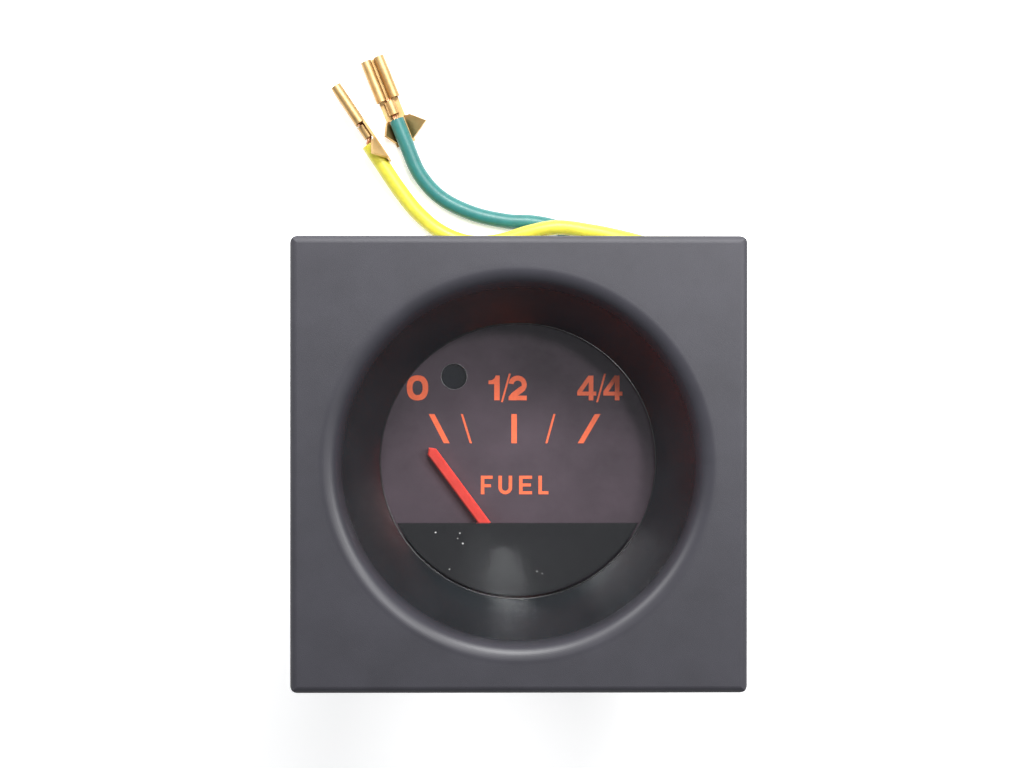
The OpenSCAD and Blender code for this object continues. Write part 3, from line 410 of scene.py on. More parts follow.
bezel_black = new_surface("moulded_bezel_black", FACE_BLACK, FACE_ROUGH)
from_axis = radius_from_axis(bezel_black)
outside = amount(bezel_black, from_axis, 0, 1, RIM_R, RIM_R + RIM_FADE)
grained = amount(bezel_black, from_axis, 0, 1, FACE_R, FACE_R + FACE_FADE)
cloud = noise(bezel_black, 6 * MM, 4)
face_colour = between(bezel_black, cloud, shade(FACE_BLACK, 0.9), shade(FACE_BLACK, 1.1))
recess_colour = between(bezel_black, cloud, shade(RECESS_BLACK, 0.8), shade(RECESS_BLACK, 1.2))
feed(bezel_black, "Base Color", mixed(bezel_black, outside, recess_colour, face_colour))
feed(bezel_black, "Roughness", mixed(
    bezel_black, grained, amount(bezel_black, outside, RECESS_ROUGH, RIM_ROUGH, 0, 1),
    amount(bezel_black, grained, RIM_ROUGH, FACE_ROUGH, 0, 1)))
raised(bezel_black,
       (product(bezel_black, grained, noise(bezel_black, GRAIN, 2)), GRAIN_RISE),
       (noise(bezel_black, WARP, 2), WARP_RISE))
paint("bezel", bezel_black)

# Window lip: the small rounded edge of the bezel's own moulding round the window, black plastic
# polished by the tool. It stops just above the lens.
LIP_R = 18.74 * MM
LIP_Z = -0.87 * MM
LIP_ROUND = 0.12 * MM
LIP_POINTS = 16
LIP_STEPS = 192

lip_black = new_surface("polished_lip", (0.014, 0.014, 0.015), 0.2)
feed(lip_black, "Roughness", amount(lip_black, noise(lip_black, 0.9 * MM, 4), 0.14, 0.3))


def lathed(outline, count):
    """A ring turned from a closed outline of (radius, z) points, in metres."""
    mesh = bmesh.new()
    rings = []
    for k in range(count):
        a = 2 * math.pi * k / count
        rings.append([mesh.verts.new((r * math.cos(a), r * math.sin(a), z)) for r, z in outline])
    for k in range(count):
        here, after = rings[k], rings[(k + 1) % count]
        for i in range(len(outline)):
            j = (i + 1) % len(outline)
            mesh.faces.new((here[i], after[i], after[j], here[j])).smooth = True
    return mesh


lip_angles = [2 * math.pi * i / LIP_POINTS for i in range(LIP_POINTS)]
lip_outline = [(LIP_R + LIP_ROUND * math.cos(a), LIP_Z + LIP_ROUND * math.sin(a))
               for a in lip_angles]
new_piece(lathed(lip_outline, LIP_STEPS), "window_lip", lip_black, "gauge")

# Lens: a clear acrylic disc, cut from sheet and polished, with faint smears from wiping. It lies
# between the gasket and the spacer ring.
clear = new_surface("clear_lens", (0.9, 0.92, 0.95), 0.03, Metallic=1.0, Alpha=0.035)
feed(clear, "Roughness", amount(clear, noise(clear, 5 * MM, 4), 0.02, 0.12))
paint("lens", clear)

# Dust on the lens: a few pale crumbs of grit, flattened and uneven. They lie loose on the lower
# half of the acrylic.
LENS_TOP = -1 * MM
DUST = [(-11.2, -9.7, 0.09), (-7.9, -9.8, 0.07), (-7.5, -11.2, 0.1), (-9.3, -14.7, 0.06),
        (2.6, -15, 0.06), (-8.2, -10.5, 0.05), (3.3, -15.3, 0.05)]
CRUMB_WIDE = 1.3
CRUMB_FLAT = 0.4
CRUMB_LIFT = 0.3
CRUMB_UNEVEN = 0.25
CRUMB_PHASE = 40
WAVES_X = 9
WAVES_Y = 5

dust_grey = new_surface("pale_dust", (0.5, 0.5, 0.5), 0.9)
feed(dust_grey, "Base Color", between(dust_grey, noise(dust_grey, 0.05 * MM), (0.35, 0.35, 0.34),
                                      (0.7, 0.7, 0.7)))
dust_mesh = bmesh.new()
for x, y, r in DUST:
    crumb = bmesh.ops.create_icosphere(dust_mesh, subdivisions=2, radius=r * MM)["verts"]
    for v in crumb:
        wave = CRUMB_PHASE * x + v.co.x * WAVES_X / r / MM + v.co.y * WAVES_Y / r / MM
        wobble = 1 + CRUMB_UNEVEN * math.sin(wave)
        v.co = Vector((v.co.x * wobble * CRUMB_WIDE, v.co.y * wobble, v.co.z * CRUMB_FLAT))
        v.co += Vector((x * MM, y * MM, LENS_TOP + CRUMB_LIFT * r * MM))
new_piece(dust_mesh, "lens_dust", dust_grey, "gauge")

# Gasket and grommet: soft black rubber, moulded. The gasket seals the lens in a groove of the
# bezel, and the grommet is pushed into the hole in the can's back that the leads leave by.
rubber = new_surface("black_rubber", (0.03, 0.03, 0.032), 0.75)
feed(rubber, "Roughness", amount(rubber, noise(rubber, 1.5 * MM), 0.6, 0.85))
raised(rubber, (noise(rubber, 0.15 * MM), 0.02 * MM))
paint("lens_gasket", rubber)
paint("grommet", rubber)

# Spacer ring, can and pointer hub: black plastic, satin from the mould. The ring keeps the lens off
# the dial, the can houses the movement, and the hub is pressed on the spindle.


def satin_plastic(name, colour, grain=0.12 * MM):
    """Moulded plastic with a faint grain and slow changes of shine."""
    made = new_surface(name, colour, 0.45)
    cloud = noise(made, 2.2 * MM, 6)
    feed(made, "Base Color", between(made, cloud, shade(colour, 0.93), shade(colour, 1.07)))
    feed(made, "Roughness", amount(made, noise(made, 0.5 * MM, 5), 0.42, 0.52))
    raised(made, (noise(made, grain, 2), 0.014 * MM))
    return made


satin_black = satin_plastic("satin_black", (0.028, 0.028, 0.031))
for node in ("spacer_ring", "can", "pointer_hub"):
    paint(node, satin_black)

# Pivot mask: a half-moon that hides the pointer's pivot, moulded in black plastic and polished.
# Its two pegs are pushed through the dial.
mask_black = new_surface("polished_black", (0.008, 0.008, 0.009), 0.12)
feed(mask_black, "Roughness", amount(mask_black, noise(mask_black, 6 * MM, 2), 0.08, 0.16))
raised(mask_black, (noise(mask_black, 8 * MM, 2), 0.02 * MM))
paint("pivot_mask", mask_black)

# Dial: sheet metal in flat dark paint, punched with a round hole for the warning window. Two
# small screws hold it on the movement's front plate.
DIAL_GREY = (0.061, 0.043, 0.055)
DIAL_TOP = -5.8 * MM

dial_grey = new_surface("flat_dial_paint", DIAL_GREY, 0.7, Specular_IOR_Level=0.25)
cloud = noise(dial_grey, 5 * MM, 5)
feed(dial_grey, "Base Color", between(
    dial_grey, cloud, shade(DIAL_GREY, 0.86), shade(DIAL_GREY, 1.1)))
feed(dial_grey, "Roughness", amount(dial_grey, noise(dial_grey, 1 * MM), 0.6, 0.8))
raised(dial_grey, (noise(dial_grey, 0.12 * MM, 2), 0.004 * MM))
paint("dial_plate", dial_grey)

# Figures, marks and word on the dial: a thin flat layer of orange ink, screen printed on the
# paint. Each loop of points is in millimetres, as seen from the front.
PRINT_ORANGE = (0.92, 0.15, 0.05)
PRINT_THICKNESS = 0.02 * MM

print_orange = new_surface("orange_print", PRINT_ORANGE, 0.6)
feed(print_orange, "Base Color", between(
    print_orange, noise(print_orange, 0.5 * MM, 4), shade(PRINT_ORANGE, 0.86), PRINT_ORANGE))


def printed(name, loops, made, base=DIAL_TOP, rise=PRINT_THICKNESS):
    """A thin flat layer inside the first loop, with the further loops as its holes."""
    rings = [[Vector((x, y, 0)) for x, y in loop] for loop in loops]
    flat = [p for ring in rings for p in ring]
    mesh = bmesh.new()
    low = [mesh.verts.new((p.x * MM, p.y * MM, base)) for p in flat]
    high = [mesh.verts.new((p.x * MM, p.y * MM, base + rise)) for p in flat]
    for a, b, c in tessellate_polygon(rings):
        mesh.faces.new((high[a], high[b], high[c]))
        mesh.faces.new((low[c], low[b], low[a]))
    start = 0
    for ring in rings:
        count = len(ring)
        for i in range(count):
            j = (i + 1) % count
            mesh.faces.new((low[start + i], low[start + j], high[start + j], high[start + i]))
        start += count
    new_piece(mesh, name, made, "gauge")


def moved(loop, x, y):
    """The loop, shifted to another place."""
    return [(px + x, py + y) for px, py in loop]


def oval(half_w, half_h, power, count=48):
    """A rounded figure's outline, squarer than an ellipse."""
    loop = []
    for i in range(count):
        a = 2 * math.pi * i / count
        c, s = math.cos(a), math.sin(a)
        loop.append((half_w * math.copysign(abs(c) ** (2 / power), c),
                     half_h * math.copysign(abs(s) ** (2 / power), s)))
    return loop


def arc(x, y, r, start, end, count=14):
    """Points along an arc round (x, y), from one angle in degrees to another."""
    steps = [math.radians(start + (end - start) * i / count) for i in range(count + 1)]
    return [(x + r * math.cos(a), y + r * math.sin(a)) for a in steps]


FIGURE_H = 3.42
SLASH_W = 0.27
SLASH_LEAN = 1.1
SLASH_OVER = 0.26


def figure_one(x, y):
    return [moved([
        (0.79, 0), (1.55, 0), (1.55, FIGURE_H), (1.0, FIGURE_H), (0.84, 3.05), (0.55, 2.82),
        (0, 2.72), (0, 2.24), (0.79, 2.24),
    ], x, y)]


def figure_two(x, y):
    outer_r, inner_r = 1.27, 0.58
    top = FIGURE_H - outer_r
    loop = arc(outer_r, top, outer_r, 172, -38)
    loop += [(1.92, 1.06), (1.3, 0.64), (2.54, 0.64), (2.54, 0), (0, 0), (0.05, 0.5)]
    loop += [(0.42, 0.98), (1.0, 1.42), (1.66, 1.92)]
    loop += arc(outer_r, top, inner_r, -20, 172)
    return [moved(loop, x, y)]


def figure_four(x, y):
    outer = [(1.55, FIGURE_H), (0, 1.24), (0, 0.66), (1.6, 0.66), (1.6, 0), (2.24, 0),
             (2.24, 0.66), (2.64, 0.66), (2.64, 1.2), (2.24, 1.2), (2.24, FIGURE_H)]
    inner = [(1.6, 1.2), (1.6, 2.5), (0.7, 1.2)]
    return [moved(outer, x, y), moved(inner, x, y)]


def slash(x, y):
    return [moved([
        (0, -SLASH_OVER), (SLASH_W, -SLASH_OVER),
        (SLASH_LEAN + SLASH_W, FIGURE_H + SLASH_OVER), (SLASH_LEAN, FIGURE_H + SLASH_OVER),
    ], x, y)]


FIGURES_MIDDLE = 9.92
FIGURES_BOTTOM = FIGURES_MIDDLE - FIGURE_H / 2
NOUGHT_X = -13.84
NOUGHT_OUTER = (1.48, 1.74, 2.35)
NOUGHT_INNER = (0.7, 1.0, 2.3)
printed("figure_nought", [moved(oval(*NOUGHT_OUTER), NOUGHT_X, FIGURES_MIDDLE),
                          moved(oval(*NOUGHT_INNER), NOUGHT_X, FIGURES_MIDDLE)], print_orange)
shapes = {"one": figure_one, "two": figure_two, "four": figure_four, "slash": slash}
for name, x, pieces in (
    ("figure_half", -4.02, (("one", 0), ("slash", 1.72), ("two", 2.76))),
    ("figure_full", 8.27, (("four", 0), ("slash", 2.62), ("four", 3.62))),
):
    for order, (shape, along) in enumerate(pieces):
        printed(f"{name}_{order}", shapes[shape](x + along, FIGURES_BOTTOM), print_orange)

MARK_TOP = 6.3
MARK_BOTTOM = 2.26
for name, top_x, bottom_x, width in (
    ("mark_empty", -11.89, -9.8, 0.8), ("mark_quarter", -7.71, -6.46, 0.3),
    ("mark_half", -0.47, -0.47, 0.76), ("mark_three_quarters", 5.11, 4.0, 0.3),
    ("mark_full", 11.11, 8.74, 0.8),
):
    half = width / 2
    printed(name, [[(bottom_x - half, MARK_BOTTOM), (bottom_x + half, MARK_BOTTOM),
                    (top_x + half, MARK_TOP), (top_x - half, MARK_TOP)]], print_orange)

WORD_MIDDLE = (-0.39, -3.53)
WORD_HALF_W = 4.68
WORD_H = 2.57
WORD_STROKE = 0.48
WORD_BAR = 0.42
WORD_X = WORD_MIDDLE[0] - WORD_HALF_W
WORD_Y = WORD_MIDDLE[1] - WORD_H / 2
BOWL_R = 0.95
letter_f = [(0, 0), (WORD_STROKE, 0), (WORD_STROKE, 0.98), (1.4, 0.98), (1.4, 0.98 + WORD_BAR),
            (WORD_STROKE, 0.98 + WORD_BAR), (WORD_STROKE, WORD_H - WORD_BAR),
            (1.62, WORD_H - WORD_BAR), (1.62, WORD_H), (0, WORD_H)]
letter_u = ([(0, WORD_H)] + arc(BOWL_R, BOWL_R, BOWL_R, 180, 360)
            + [(2 * BOWL_R, WORD_H), (2 * BOWL_R - WORD_STROKE, WORD_H)]
            + arc(BOWL_R, BOWL_R, BOWL_R - WORD_STROKE, 0, -180) + [(WORD_STROKE, WORD_H)])
letter_e = [(0, 0), (1.8, 0), (1.8, WORD_BAR), (WORD_STROKE, WORD_BAR), (WORD_STROKE, 1.08),
            (1.64, 1.08), (1.64, 1.08 + WORD_BAR), (WORD_STROKE, 1.08 + WORD_BAR),
            (WORD_STROKE, WORD_H - WORD_BAR), (1.8, WORD_H - WORD_BAR), (1.8, WORD_H),
            (0, WORD_H)]
letter_l = [(0, 0), (1.39, 0), (1.39, WORD_BAR), (WORD_STROKE, WORD_BAR),
            (WORD_STROKE, WORD_H), (0, WORD_H)]
for name, loop, along in (("f", letter_f, 0), ("u", letter_u, 2.43), ("e", letter_e, 5.29),
                          ("l", letter_l, 7.97)):
    printed(f"word_{name}", [moved(loop, WORD_X + along, WORD_Y)], print_orange)

# Rim of the warning hole: a thin burr of bare bright sheet that the punch leaves round the dial's
# hole, with the paint gone from it.
HOLE_X = -8.8
HOLE_Y = 11.5
HOLE_R = 1.8 * MM
BURR = 0.09 * MM
RIM_STEPS = 64

bare_sheet = new_surface("bare_sheet_edge", (0.3, 0.3, 0.31), 0.4, Metallic=0.8)
feed(bare_sheet, "Roughness", amount(bare_sheet, noise(bare_sheet, 0.4 * MM, 4), 0.3, 0.55))
rim_outline = [(HOLE_R + BURR / 3, DIAL_TOP - 2 * BURR), (HOLE_R - BURR, DIAL_TOP - 2 * BURR),
               (HOLE_R - BURR / 3, DIAL_TOP - BURR / 2), (HOLE_R + BURR / 3, DIAL_TOP + BURR / 5)]
rim_mesh = lathed(rim_outline, RIM_STEPS)
for v in rim_mesh.verts:
    v.co += Vector((HOLE_X, HOLE_Y, 0)) * MM
new_piece(rim_mesh, "hole_rim", bare_sheet, "gauge")

# Warning window: a disc of dark smoked acrylic. It laps under the dial round its hole, with the
# warning lamp behind it.
smoke = new_surface("smoked_window", (0.005, 0.006, 0.009), 0.2)
feed(smoke, "Base Color", between(smoke, noise(smoke, 1 * MM), (0.004, 0.005, 0.008),
                                  (0.007, 0.008, 0.012)))
paint("warning_window", smoke)

# Small steel pieces: screws, stops and rivets in bright zinc plate, and the ground spindle. The
# screws are driven, and the stop pins are pressed into the dial.
zinc = new_surface("bright_zinc", (0.6, 0.61, 0.63), 0.3, Metallic=1.0)
zinc_cloud = noise(zinc, 2.5 * MM, 6)
feed(zinc, "Base Color", between(zinc, zinc_cloud, (0.53, 0.53, 0.54), (0.63, 0.64, 0.66)))
feed(zinc, "Roughness", amount(zinc, noise(zinc, 0.3 * MM, 4), 0.36, 0.28))
raised(zinc, (noise(zinc, 0.06 * MM), 0.002 * MM))
for node in ("dial_screws", "pointer_stops", "pillar_screws", "bezel_screws", "mounting_studs",
             "block_rivets", "board_screws", "spindle"):
    paint(node, zinc)

# Mounting studs: M4 by 0.7, of zinc plated steel with rolled threads. Each has a hexagon that bears
# on the can's back and a plain root moulded into it.
STUD_X = 17
STUD_TIP_Z = -50
STUD_HEX_Z = -38.8
CAN_BACK_Z = -36
STUD_ROOT_TOP_Z = -32
STUD_ROOT_R = 1.8
THREAD_MAJOR_R = 2.0
THREAD_DEPTH = 0.4
THREAD_PITCH = 0.7
THREAD_SLOPE = 1.35
THREAD_ROOT_FLAT = 0.17
THREAD_STEPS = 10
ROUND_SIDES = 32
HEX_ACROSS_FLATS = 7.0
HEX_CORNER_R = HEX_ACROSS_FLATS / math.sqrt(3)
HEX_BEVEL = 0.25
HEX_BEVEL_H = 0.15
OVERLAP = 0.1


def threaded_length(mesh, x, y, low, high):
    """A rod with a rolled thread that winds up it, closed at both ends."""
    rings = []
    count = round((high - low) / THREAD_PITCH * THREAD_STEPS)
    for k in range(count + 1):
        z = low + (high - low) * k / count
        run_out = min(1, (z - low) / THREAD_PITCH, (high - z) / THREAD_PITCH)
        ring = []
        for i in range(ROUND_SIDES):
            turn = i / ROUND_SIDES
            wave = abs(2 * ((z / THREAD_PITCH + turn) % 1) - 1)
            crest = min(1, max(0, THREAD_SLOPE * wave - THREAD_ROOT_FLAT)) * run_out
            r = THREAD_MAJOR_R - THREAD_DEPTH * (1 - crest)
            a = 2 * math.pi * turn
            ring.append(mesh.verts.new((
                (x + r * math.cos(a)) * MM, (y + r * math.sin(a)) * MM, z * MM)))
        rings.append(ring)
    skinned(mesh, rings)


def stacked(mesh, x, y, levels, count=ROUND_SIDES):
    """A prism or rod that goes through rings of (radius, z), closed at both ends."""
    skinned(mesh, [[mesh.verts.new((
        (x + r * math.cos(2 * math.pi * i / count)) * MM,
        (y + r * math.sin(2 * math.pi * i / count)) * MM, z * MM)) for i in range(count)]
        for r, z in levels])


stud_mesh = bmesh.new()
for side in (-1, 1):
    x = side * STUD_X
    threaded_length(stud_mesh, x, 0, STUD_TIP_Z, STUD_HEX_Z + OVERLAP)
    stacked(stud_mesh, x, 0, [
        (HEX_CORNER_R - HEX_BEVEL, STUD_HEX_Z), (HEX_CORNER_R, STUD_HEX_Z + HEX_BEVEL_H),
        (HEX_CORNER_R, CAN_BACK_Z)], 6)
    stacked(stud_mesh, x, 0, [(STUD_ROOT_R, CAN_BACK_Z - OVERLAP), (STUD_ROOT_R, STUD_ROOT_TOP_Z)])
studs = new_piece(stud_mesh, "threaded_studs", zinc, "gauge")
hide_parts("mounting_studs")

# Slotted screws: zinc plated steel. Four countersunk ones hold the bezel to the can's ears, and
# three cheese heads hold the circuit board to the can's back.
SLOT_POINTS = 20
BEZEL_SCREWS_AT = 23.5
BEZEL_HEAD_Z = 0.02
BEZEL_HEAD_R = 1.9
BEZEL_SLOT = (0.25, 0.33)
BEZEL_FIRST_TURN = 0.5
BEZEL_NEXT_TURN = 1.3
BEZEL_SHANK = [(1.76, 0.34), (0.95, 1.15), (0.95, 6.5)]
BOARD_SCREWS_AT = ((-19.4, 8), (19.4, 8), (0, 6.2))
BOARD_BACK_Z = -37.5
BOARD_HEAD_R = 1.5
BOARD_HEAD_H = 0.5
BOARD_SLOT = (0.2, 0.3)
BOARD_FIRST_TURN = 0.3
BOARD_NEXT_TURN = 1.1
BOARD_HEAD = [(BOARD_HEAD_R, BOARD_BACK_Z - 0.21), (BOARD_HEAD_R, BOARD_BACK_Z)]
BOARD_SHANK = [(0.8, BOARD_BACK_Z - 0.05), (0.8, -34)]


def slotted_head(mesh, x, y, face_z, head_r, slot, turn):
    """Two half-moons on a rear face, apart by a slot of this half width and depth."""
    slot_half, slot_depth = slot
    reach = math.acos(slot_half / head_r)
    for side in (0, math.pi):
        angles = [turn + side + reach * (k / (SLOT_POINTS / 2) - 1) for k in range(SLOT_POINTS + 1)]
        loop = [(head_r * math.cos(a), head_r * math.sin(a)) for a in angles]
        skinned(mesh, [[mesh.verts.new(((x + px) * MM, (y + py) * MM, z * MM)) for px, py in loop]
                       for z in (face_z, face_z + slot_depth)])


bezel_screw_mesh = bmesh.new()
for order, (side_x, side_y) in enumerate(((-1, -1), (1, -1), (1, 1), (-1, 1))):
    x, y = side_x * BEZEL_SCREWS_AT, side_y * BEZEL_SCREWS_AT
    turn = BEZEL_FIRST_TURN + order * BEZEL_NEXT_TURN
    slotted_head(bezel_screw_mesh, x, y, BEZEL_HEAD_Z, BEZEL_HEAD_R, BEZEL_SLOT, turn)
    stacked(bezel_screw_mesh, x, y, BEZEL_SHANK)
bezel_screws = new_piece(bezel_screw_mesh, "slotted_bezel_screws", zinc, "gauge")
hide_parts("bezel_screws")

board_screw_mesh = bmesh.new()
for order, (x, y) in enumerate(BOARD_SCREWS_AT):
    turn = BOARD_FIRST_TURN + order * BOARD_NEXT_TURN
    slotted_head(board_screw_mesh, x, y, BOARD_BACK_Z - BOARD_HEAD_H, BOARD_HEAD_R,
                 BOARD_SLOT, turn)
    stacked(board_screw_mesh, x, y, BOARD_HEAD)
    stacked(board_screw_mesh, x, y, BOARD_SHANK)
board_screws = new_piece(board_screw_mesh, "slotted_board_screws", zinc, "gauge")
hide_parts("board_screws")

# Movement plates, pillars and balance weight: brass. The plates are stamped from rolled sheet and
# screwed to the turned pillars, and the weight is pressed into the pointer's tail.
plate_brass = brass("plate_brass", (0.7, 0.52, 0.24), (0.52, 0.36, 0.15))
for node in ("front_bridge", "rear_bridge", "bridge_pillars", "balance_weight"):
    paint(node, plate_brass)

# Light box, coil former and lamp holders: moulded white plastic, a little yellowed by the lamps'
# heat. The holders turn into the can's back with two lugs.
white = satin_plastic("yellowed_white", (0.72, 0.7, 0.62))
for node in ("light_box", "former_front", "former_rear", "warning_holder", "dial_lamp_holder"):
    paint(node, white)

# Windings: enamelled copper wire, wound on the former in close layers, the outer coil across the
# inner one.
copper = new_surface("enamelled_copper", (0.55, 0.2, 0.09), 0.32, Metallic=0.8)
turns = noise(copper, 0.1 * MM, 1, (1, 1, 0.05))
feed(copper, "Base Color", between(copper, turns, (0.36, 0.11, 0.05), (0.66, 0.27, 0.13)))
raised(copper, (turns, 0.04 * MM))
for node in ("inner_winding", "outer_winding"):
    paint(node, copper)

# Jewels, magnet and resistor inside the can: ruby bushes pressed into the plates, a sintered magnet
# on the spindle, and a wire-wound resistor in a fired ceramic body.
ruby = new_surface("ruby", (0.4, 0.02, 0.06), 0.08)
feed(ruby, "Base Color", between(ruby, noise(ruby, 0.6 * MM), (0.3, 0.012, 0.04),
                                 (0.46, 0.03, 0.08)))
magnet_grey = satin_plastic("sintered_magnet", (0.14, 0.14, 0.15), 0.06 * MM)
stoneware = satin_plastic("resistor_body", (0.45, 0.42, 0.33), 0.05 * MM)
paint("front_jewel", ruby)
paint("rear_jewel", ruby)
paint("magnet_rotor", magnet_grey)
paint("ballast_resistor", stoneware)

# Circuit board and terminal block: brown phenolic laminate with a faint paper grain. The board is
# screwed and the block riveted to the can's back.
phenolic = new_surface("brown_phenolic", (0.26, 0.12, 0.045), 0.4)
grain = noise(phenolic, 0.5 * MM, 4, (0.25, 1, 1))
feed(phenolic, "Base Color", between(phenolic, grain, (0.21, 0.095, 0.035), (0.27, 0.125, 0.048)))
feed(phenolic, "Roughness", amount(phenolic, noise(phenolic, 2 * MM), 0.3, 0.52))
raised(phenolic, (grain, 0.012 * MM))
paint("circuit_board", phenolic)
paint("terminal_block", phenolic)

# Tracks on the board's back: etched copper, dipped in tin. They join the lamp holders' contacts to
# the board's screws.
TRACK_RISE = 0.06 * MM
LAMP_X = -HOLE_X
LAMP_Y = HOLE_Y
RING_OUTER_R = 9.1
RING_INNER_R = 6.6
RING_ANGLES = {"left": (150, 215), "right": (-35, 30)}
PAD_X = (17.5, 21.2)
PAD_Y = (6.9, 9.4)

tinned = new_surface("tinned_copper", (0.6, 0.56, 0.5), 0.4, Metallic=0.9)
feed(tinned, "Base Color", between(tinned, noise(tinned, 0.9 * MM, 5), (0.5, 0.42, 0.32),
                                   (0.66, 0.64, 0.6)))
feed(tinned, "Roughness", amount(tinned, noise(tinned, 0.4 * MM), 0.3, 0.5))


def track(name, loop):
    """A track inside this loop, raised from the board's back."""
    printed(name, [loop], tinned, BOARD_BACK_Z * MM - TRACK_RISE, TRACK_RISE)


for side, word in ((-1, "left"), (1, "right")):
    low, high = RING_ANGLES[word]
    near, far = side * PAD_X[0], side * PAD_X[1]
    track(f"track_lamp_{word}", arc(side * LAMP_X, LAMP_Y, RING_OUTER_R, low, high)
          + arc(side * LAMP_X, LAMP_Y, RING_INNER_R, high, low))
    track(f"track_side_{word}", [
        (near, PAD_Y[1]), (far, PAD_Y[1]), (far, PAD_Y[0]), (near, PAD_Y[0])][::side])
track("track_middle", [(-3.4, 4.4), (3.4, 4.4), (3.4, 5.4), (2.2, 7.9), (-2.2, 7.9), (-3.4, 5.4)])

# Bulbs: clear blown glass without caps. Each one's pinched wedge is pushed into its holder, which
# grips it.
bulb_glass = new_surface("bulb_glass", (0.95, 0.97, 1), 0.04, Alpha=0.3)
feed(bulb_glass, "Roughness", amount(bulb_glass, noise(bulb_glass, 2 * MM), 0.02, 0.08))
paint("warning_bulb", bulb_glass)
paint("dial_lamp_bulb", bulb_glass)

# Pointer: a bar of translucent orange acrylic with chamfered edges and a blunt angled tip,
# pressed on its hub. It rests 36.5 degrees anticlockwise of the dial's top.
PIVOT = Vector((0, -14.9, 0)) * MM
REST_ANGLE = math.radians(36.5)
POINTER_LOW = -5.3 * MM
POINTER_HIGH = -4.7 * MM
CHAMFER = 0.16 * MM
LEAST_MITRE = 0.4
BLADE = [
    (0.7, 0), (0.7, 19.9), (0, 20.6), (-0.7, 19.9), (-0.7, 0), (-0.8, -2.4), (0.8, -2.4),
]
EYES = ((0, 1.7), (-2.4, 1.4))
EYE_POINTS = 48
# Painted glow: a faint even emission on the blade's faces and a strong one on its upright sides.
# The sides' glow paints a red tint on the dial and mask beside the blade, in place of light let
# through the translucent acrylic.
FACE_PAINTED_GLOW = 0.05
EDGE_PAINTED_GLOW = 2.2


def acrylic(name, glow):
    """Orange acrylic with a painted glow: an even emission of this strength, whatever light falls
    on it.
    """
    made = new_surface(name, (0.6, 0.042, 0.03), 0.35, Subsurface_Weight=0.3,
                       Subsurface_Scale=0.0008, Emission_Color=(1, 0.045, 0.02, 1),
                       Emission_Strength=glow)
    feed(made, "Base Color", between(made, noise(made, 1.2 * MM), (0.54, 0.037, 0.026),
                                     (0.64, 0.045, 0.032)))
    feed(made, "Roughness", amount(made, noise(made, 0.6 * MM), 0.28, 0.45))
    return made


orange_face_painted_glow = acrylic("orange_acrylic_painted_glow", FACE_PAINTED_GLOW)
orange_edge_painted_glow = acrylic("edge_painted_glow", EDGE_PAINTED_GLOW)


def pointer_mesh():
    """The blade with chamfered upper edges, and a round eye at the hub and at the weight."""
    mesh = bmesh.new()
    turn_cos, turn_sin = math.cos(REST_ANGLE), math.sin(REST_ANGLE)

    def place(x, y, z):
        return (PIVOT.x + x * turn_cos - y * turn_sin, PIVOT.y + x * turn_sin + y * turn_cos, z)

    def slab(outline):
        levels = []
        for z, inset in ((POINTER_LOW, 0), (POINTER_HIGH - CHAMFER, 0), (POINTER_HIGH, CHAMFER)):
            level = []
            for i, (x, y) in enumerate(outline):
                before = Vector(outline[i - 1])
                here = Vector((x, y))
                after = Vector(outline[(i + 1) % len(outline)])
                a = (here - before).normalized()
                b = (after - here).normalized()
                inward = Vector((-a.y - b.y, a.x + b.x)).normalized()
                reach = inset / max(LEAST_MITRE, inward.dot(Vector((-a.y, a.x))))
                point = here * MM + inward * reach
                level.append(mesh.verts.new(place(point.x, point.y, z)))
            levels.append(level)
        mesh.faces.new(levels[0][::-1])
        mesh.faces.new(levels[2])
        for step, (low, high) in enumerate(zip(levels, levels[1:])):
            for i in range(len(low)):
                j = (i + 1) % len(low)
                # The upright sides take the second finish, with the strong painted glow, and the
                # chamfers the first.
                side = mesh.faces.new((low[i], low[j], high[j], high[i]))
                side.material_index = 1 - step

    slab(BLADE)
    for y, r in EYES:
        slab(arc(0, y, r, 0, 360 - 360 / EYE_POINTS, EYE_POINTS - 1))
    return mesh


pointer = new_piece(pointer_mesh(), "pointer_blade", orange_face_painted_glow, "pointer_assembly")
pointer.data.materials.append(orange_edge_painted_glow)
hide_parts("pointer")

# Table and light: a pale matte floor that the gauge stands on, and an even pale sky. Five soft oval
# lights stand round the dial's far side, and a faint strip overhead gives the bezel its low gloss.
FLOOR_HALF = 3
FLOOR_GLOW = 0.4
SKY_GLOW = 0.3

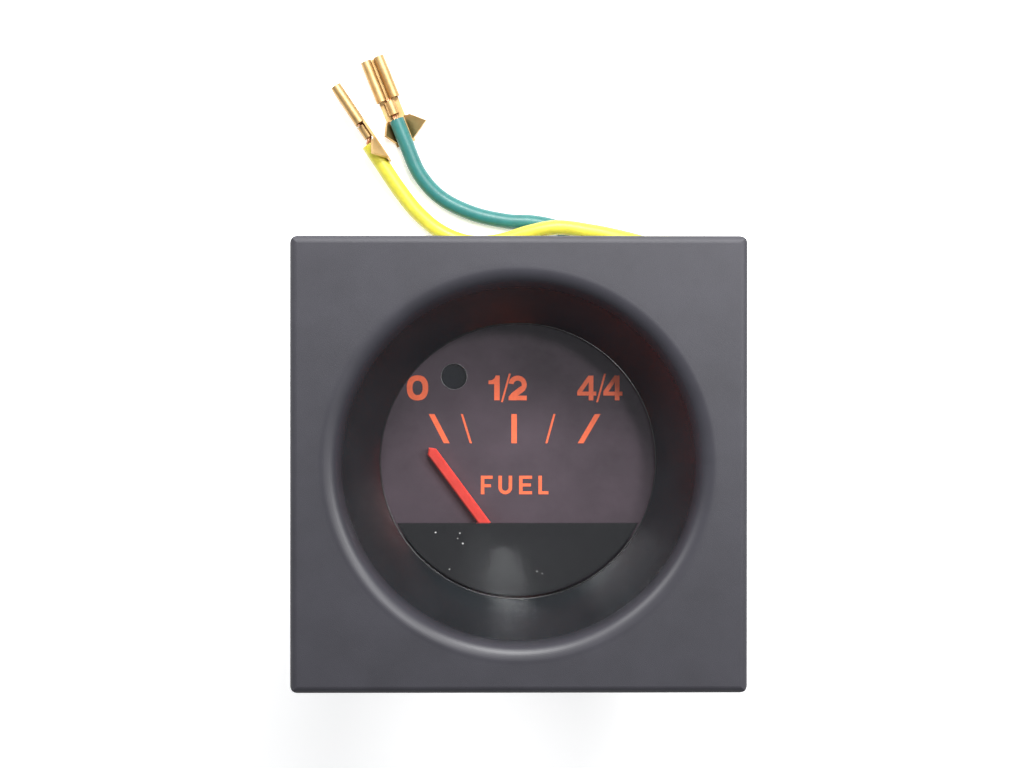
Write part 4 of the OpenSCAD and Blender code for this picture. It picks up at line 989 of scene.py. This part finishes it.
floor_mesh = bpy.data.meshes.new("floor")
floor_mesh.from_pydata(
    [(-FLOOR_HALF, -FLOOR_HALF, TABLE_Z), (FLOOR_HALF, -FLOOR_HALF, TABLE_Z),
     (FLOOR_HALF, FLOOR_HALF, TABLE_Z), (-FLOOR_HALF, FLOOR_HALF, TABLE_Z)],
    [], [(0, 1, 2, 3)])
floor = link(floor_mesh, "floor")
floor_white = new_surface("floor_white", (0.9, 0.9, 0.9), 0.9, Emission_Color=(1, 1, 1, 1),
                          Emission_Strength=FLOOR_GLOW)
feed(floor_white, "Base Color", between(floor_white, noise(floor_white, 0.3), (0.88, 0.88, 0.88),
                                        (0.92, 0.92, 0.92)))
floor.data.materials.append(floor_white)


def soft_light(name, round_angle, height_angle, distance, width, height, power):
    """An oval light that faces the gauge. Angles are in degrees, from +X and from level.

    Its distance, width and height are in metres and its power is in watts.
    """
    turn = math.radians(round_angle)
    lift = math.radians(height_angle)
    away = Vector((math.cos(turn) * math.cos(lift), math.sin(turn) * math.cos(lift),
                   math.sin(lift)))
    data = bpy.data.lights.new(name, "AREA")
    data.shape = "ELLIPSE"
    data.size = width
    data.size_y = height
    data.energy = power
    lamp = link(data, name)
    lamp.visible_camera = False
    lamp.location = away * distance
    lamp.rotation_mode = "QUATERNION"
    lamp.rotation_quaternion = away.to_track_quat("Z", "Y")


soft_light("far_light", 85, 38, 0.2, 0.1, 0.05, 0.46)
soft_light("left_light", 136, 26, 0.3, 0.17, 0.14, 0.56)
soft_light("right_light", 20, 36, 0.27, 0.12, 0.06, 0.42)
soft_light("near_light", 42, 62, 0.22, 0.06, 0.06, 0.21)
soft_light("overhead_strip", -89.5, 81.9, 0.51, 0.017, 0.026, 0.0011)
soft_light("low_light", 86, 21, 0.3, 0.06, 0.035, 0.15)

sky = bpy.data.worlds.new("sky")
bpy.context.scene.world = sky
sky.use_nodes = True
sky.node_tree.nodes["Background"].inputs["Color"].default_value = (0.95, 0.97, 1, 1)
sky.node_tree.nodes["Background"].inputs["Strength"].default_value = SKY_GLOW
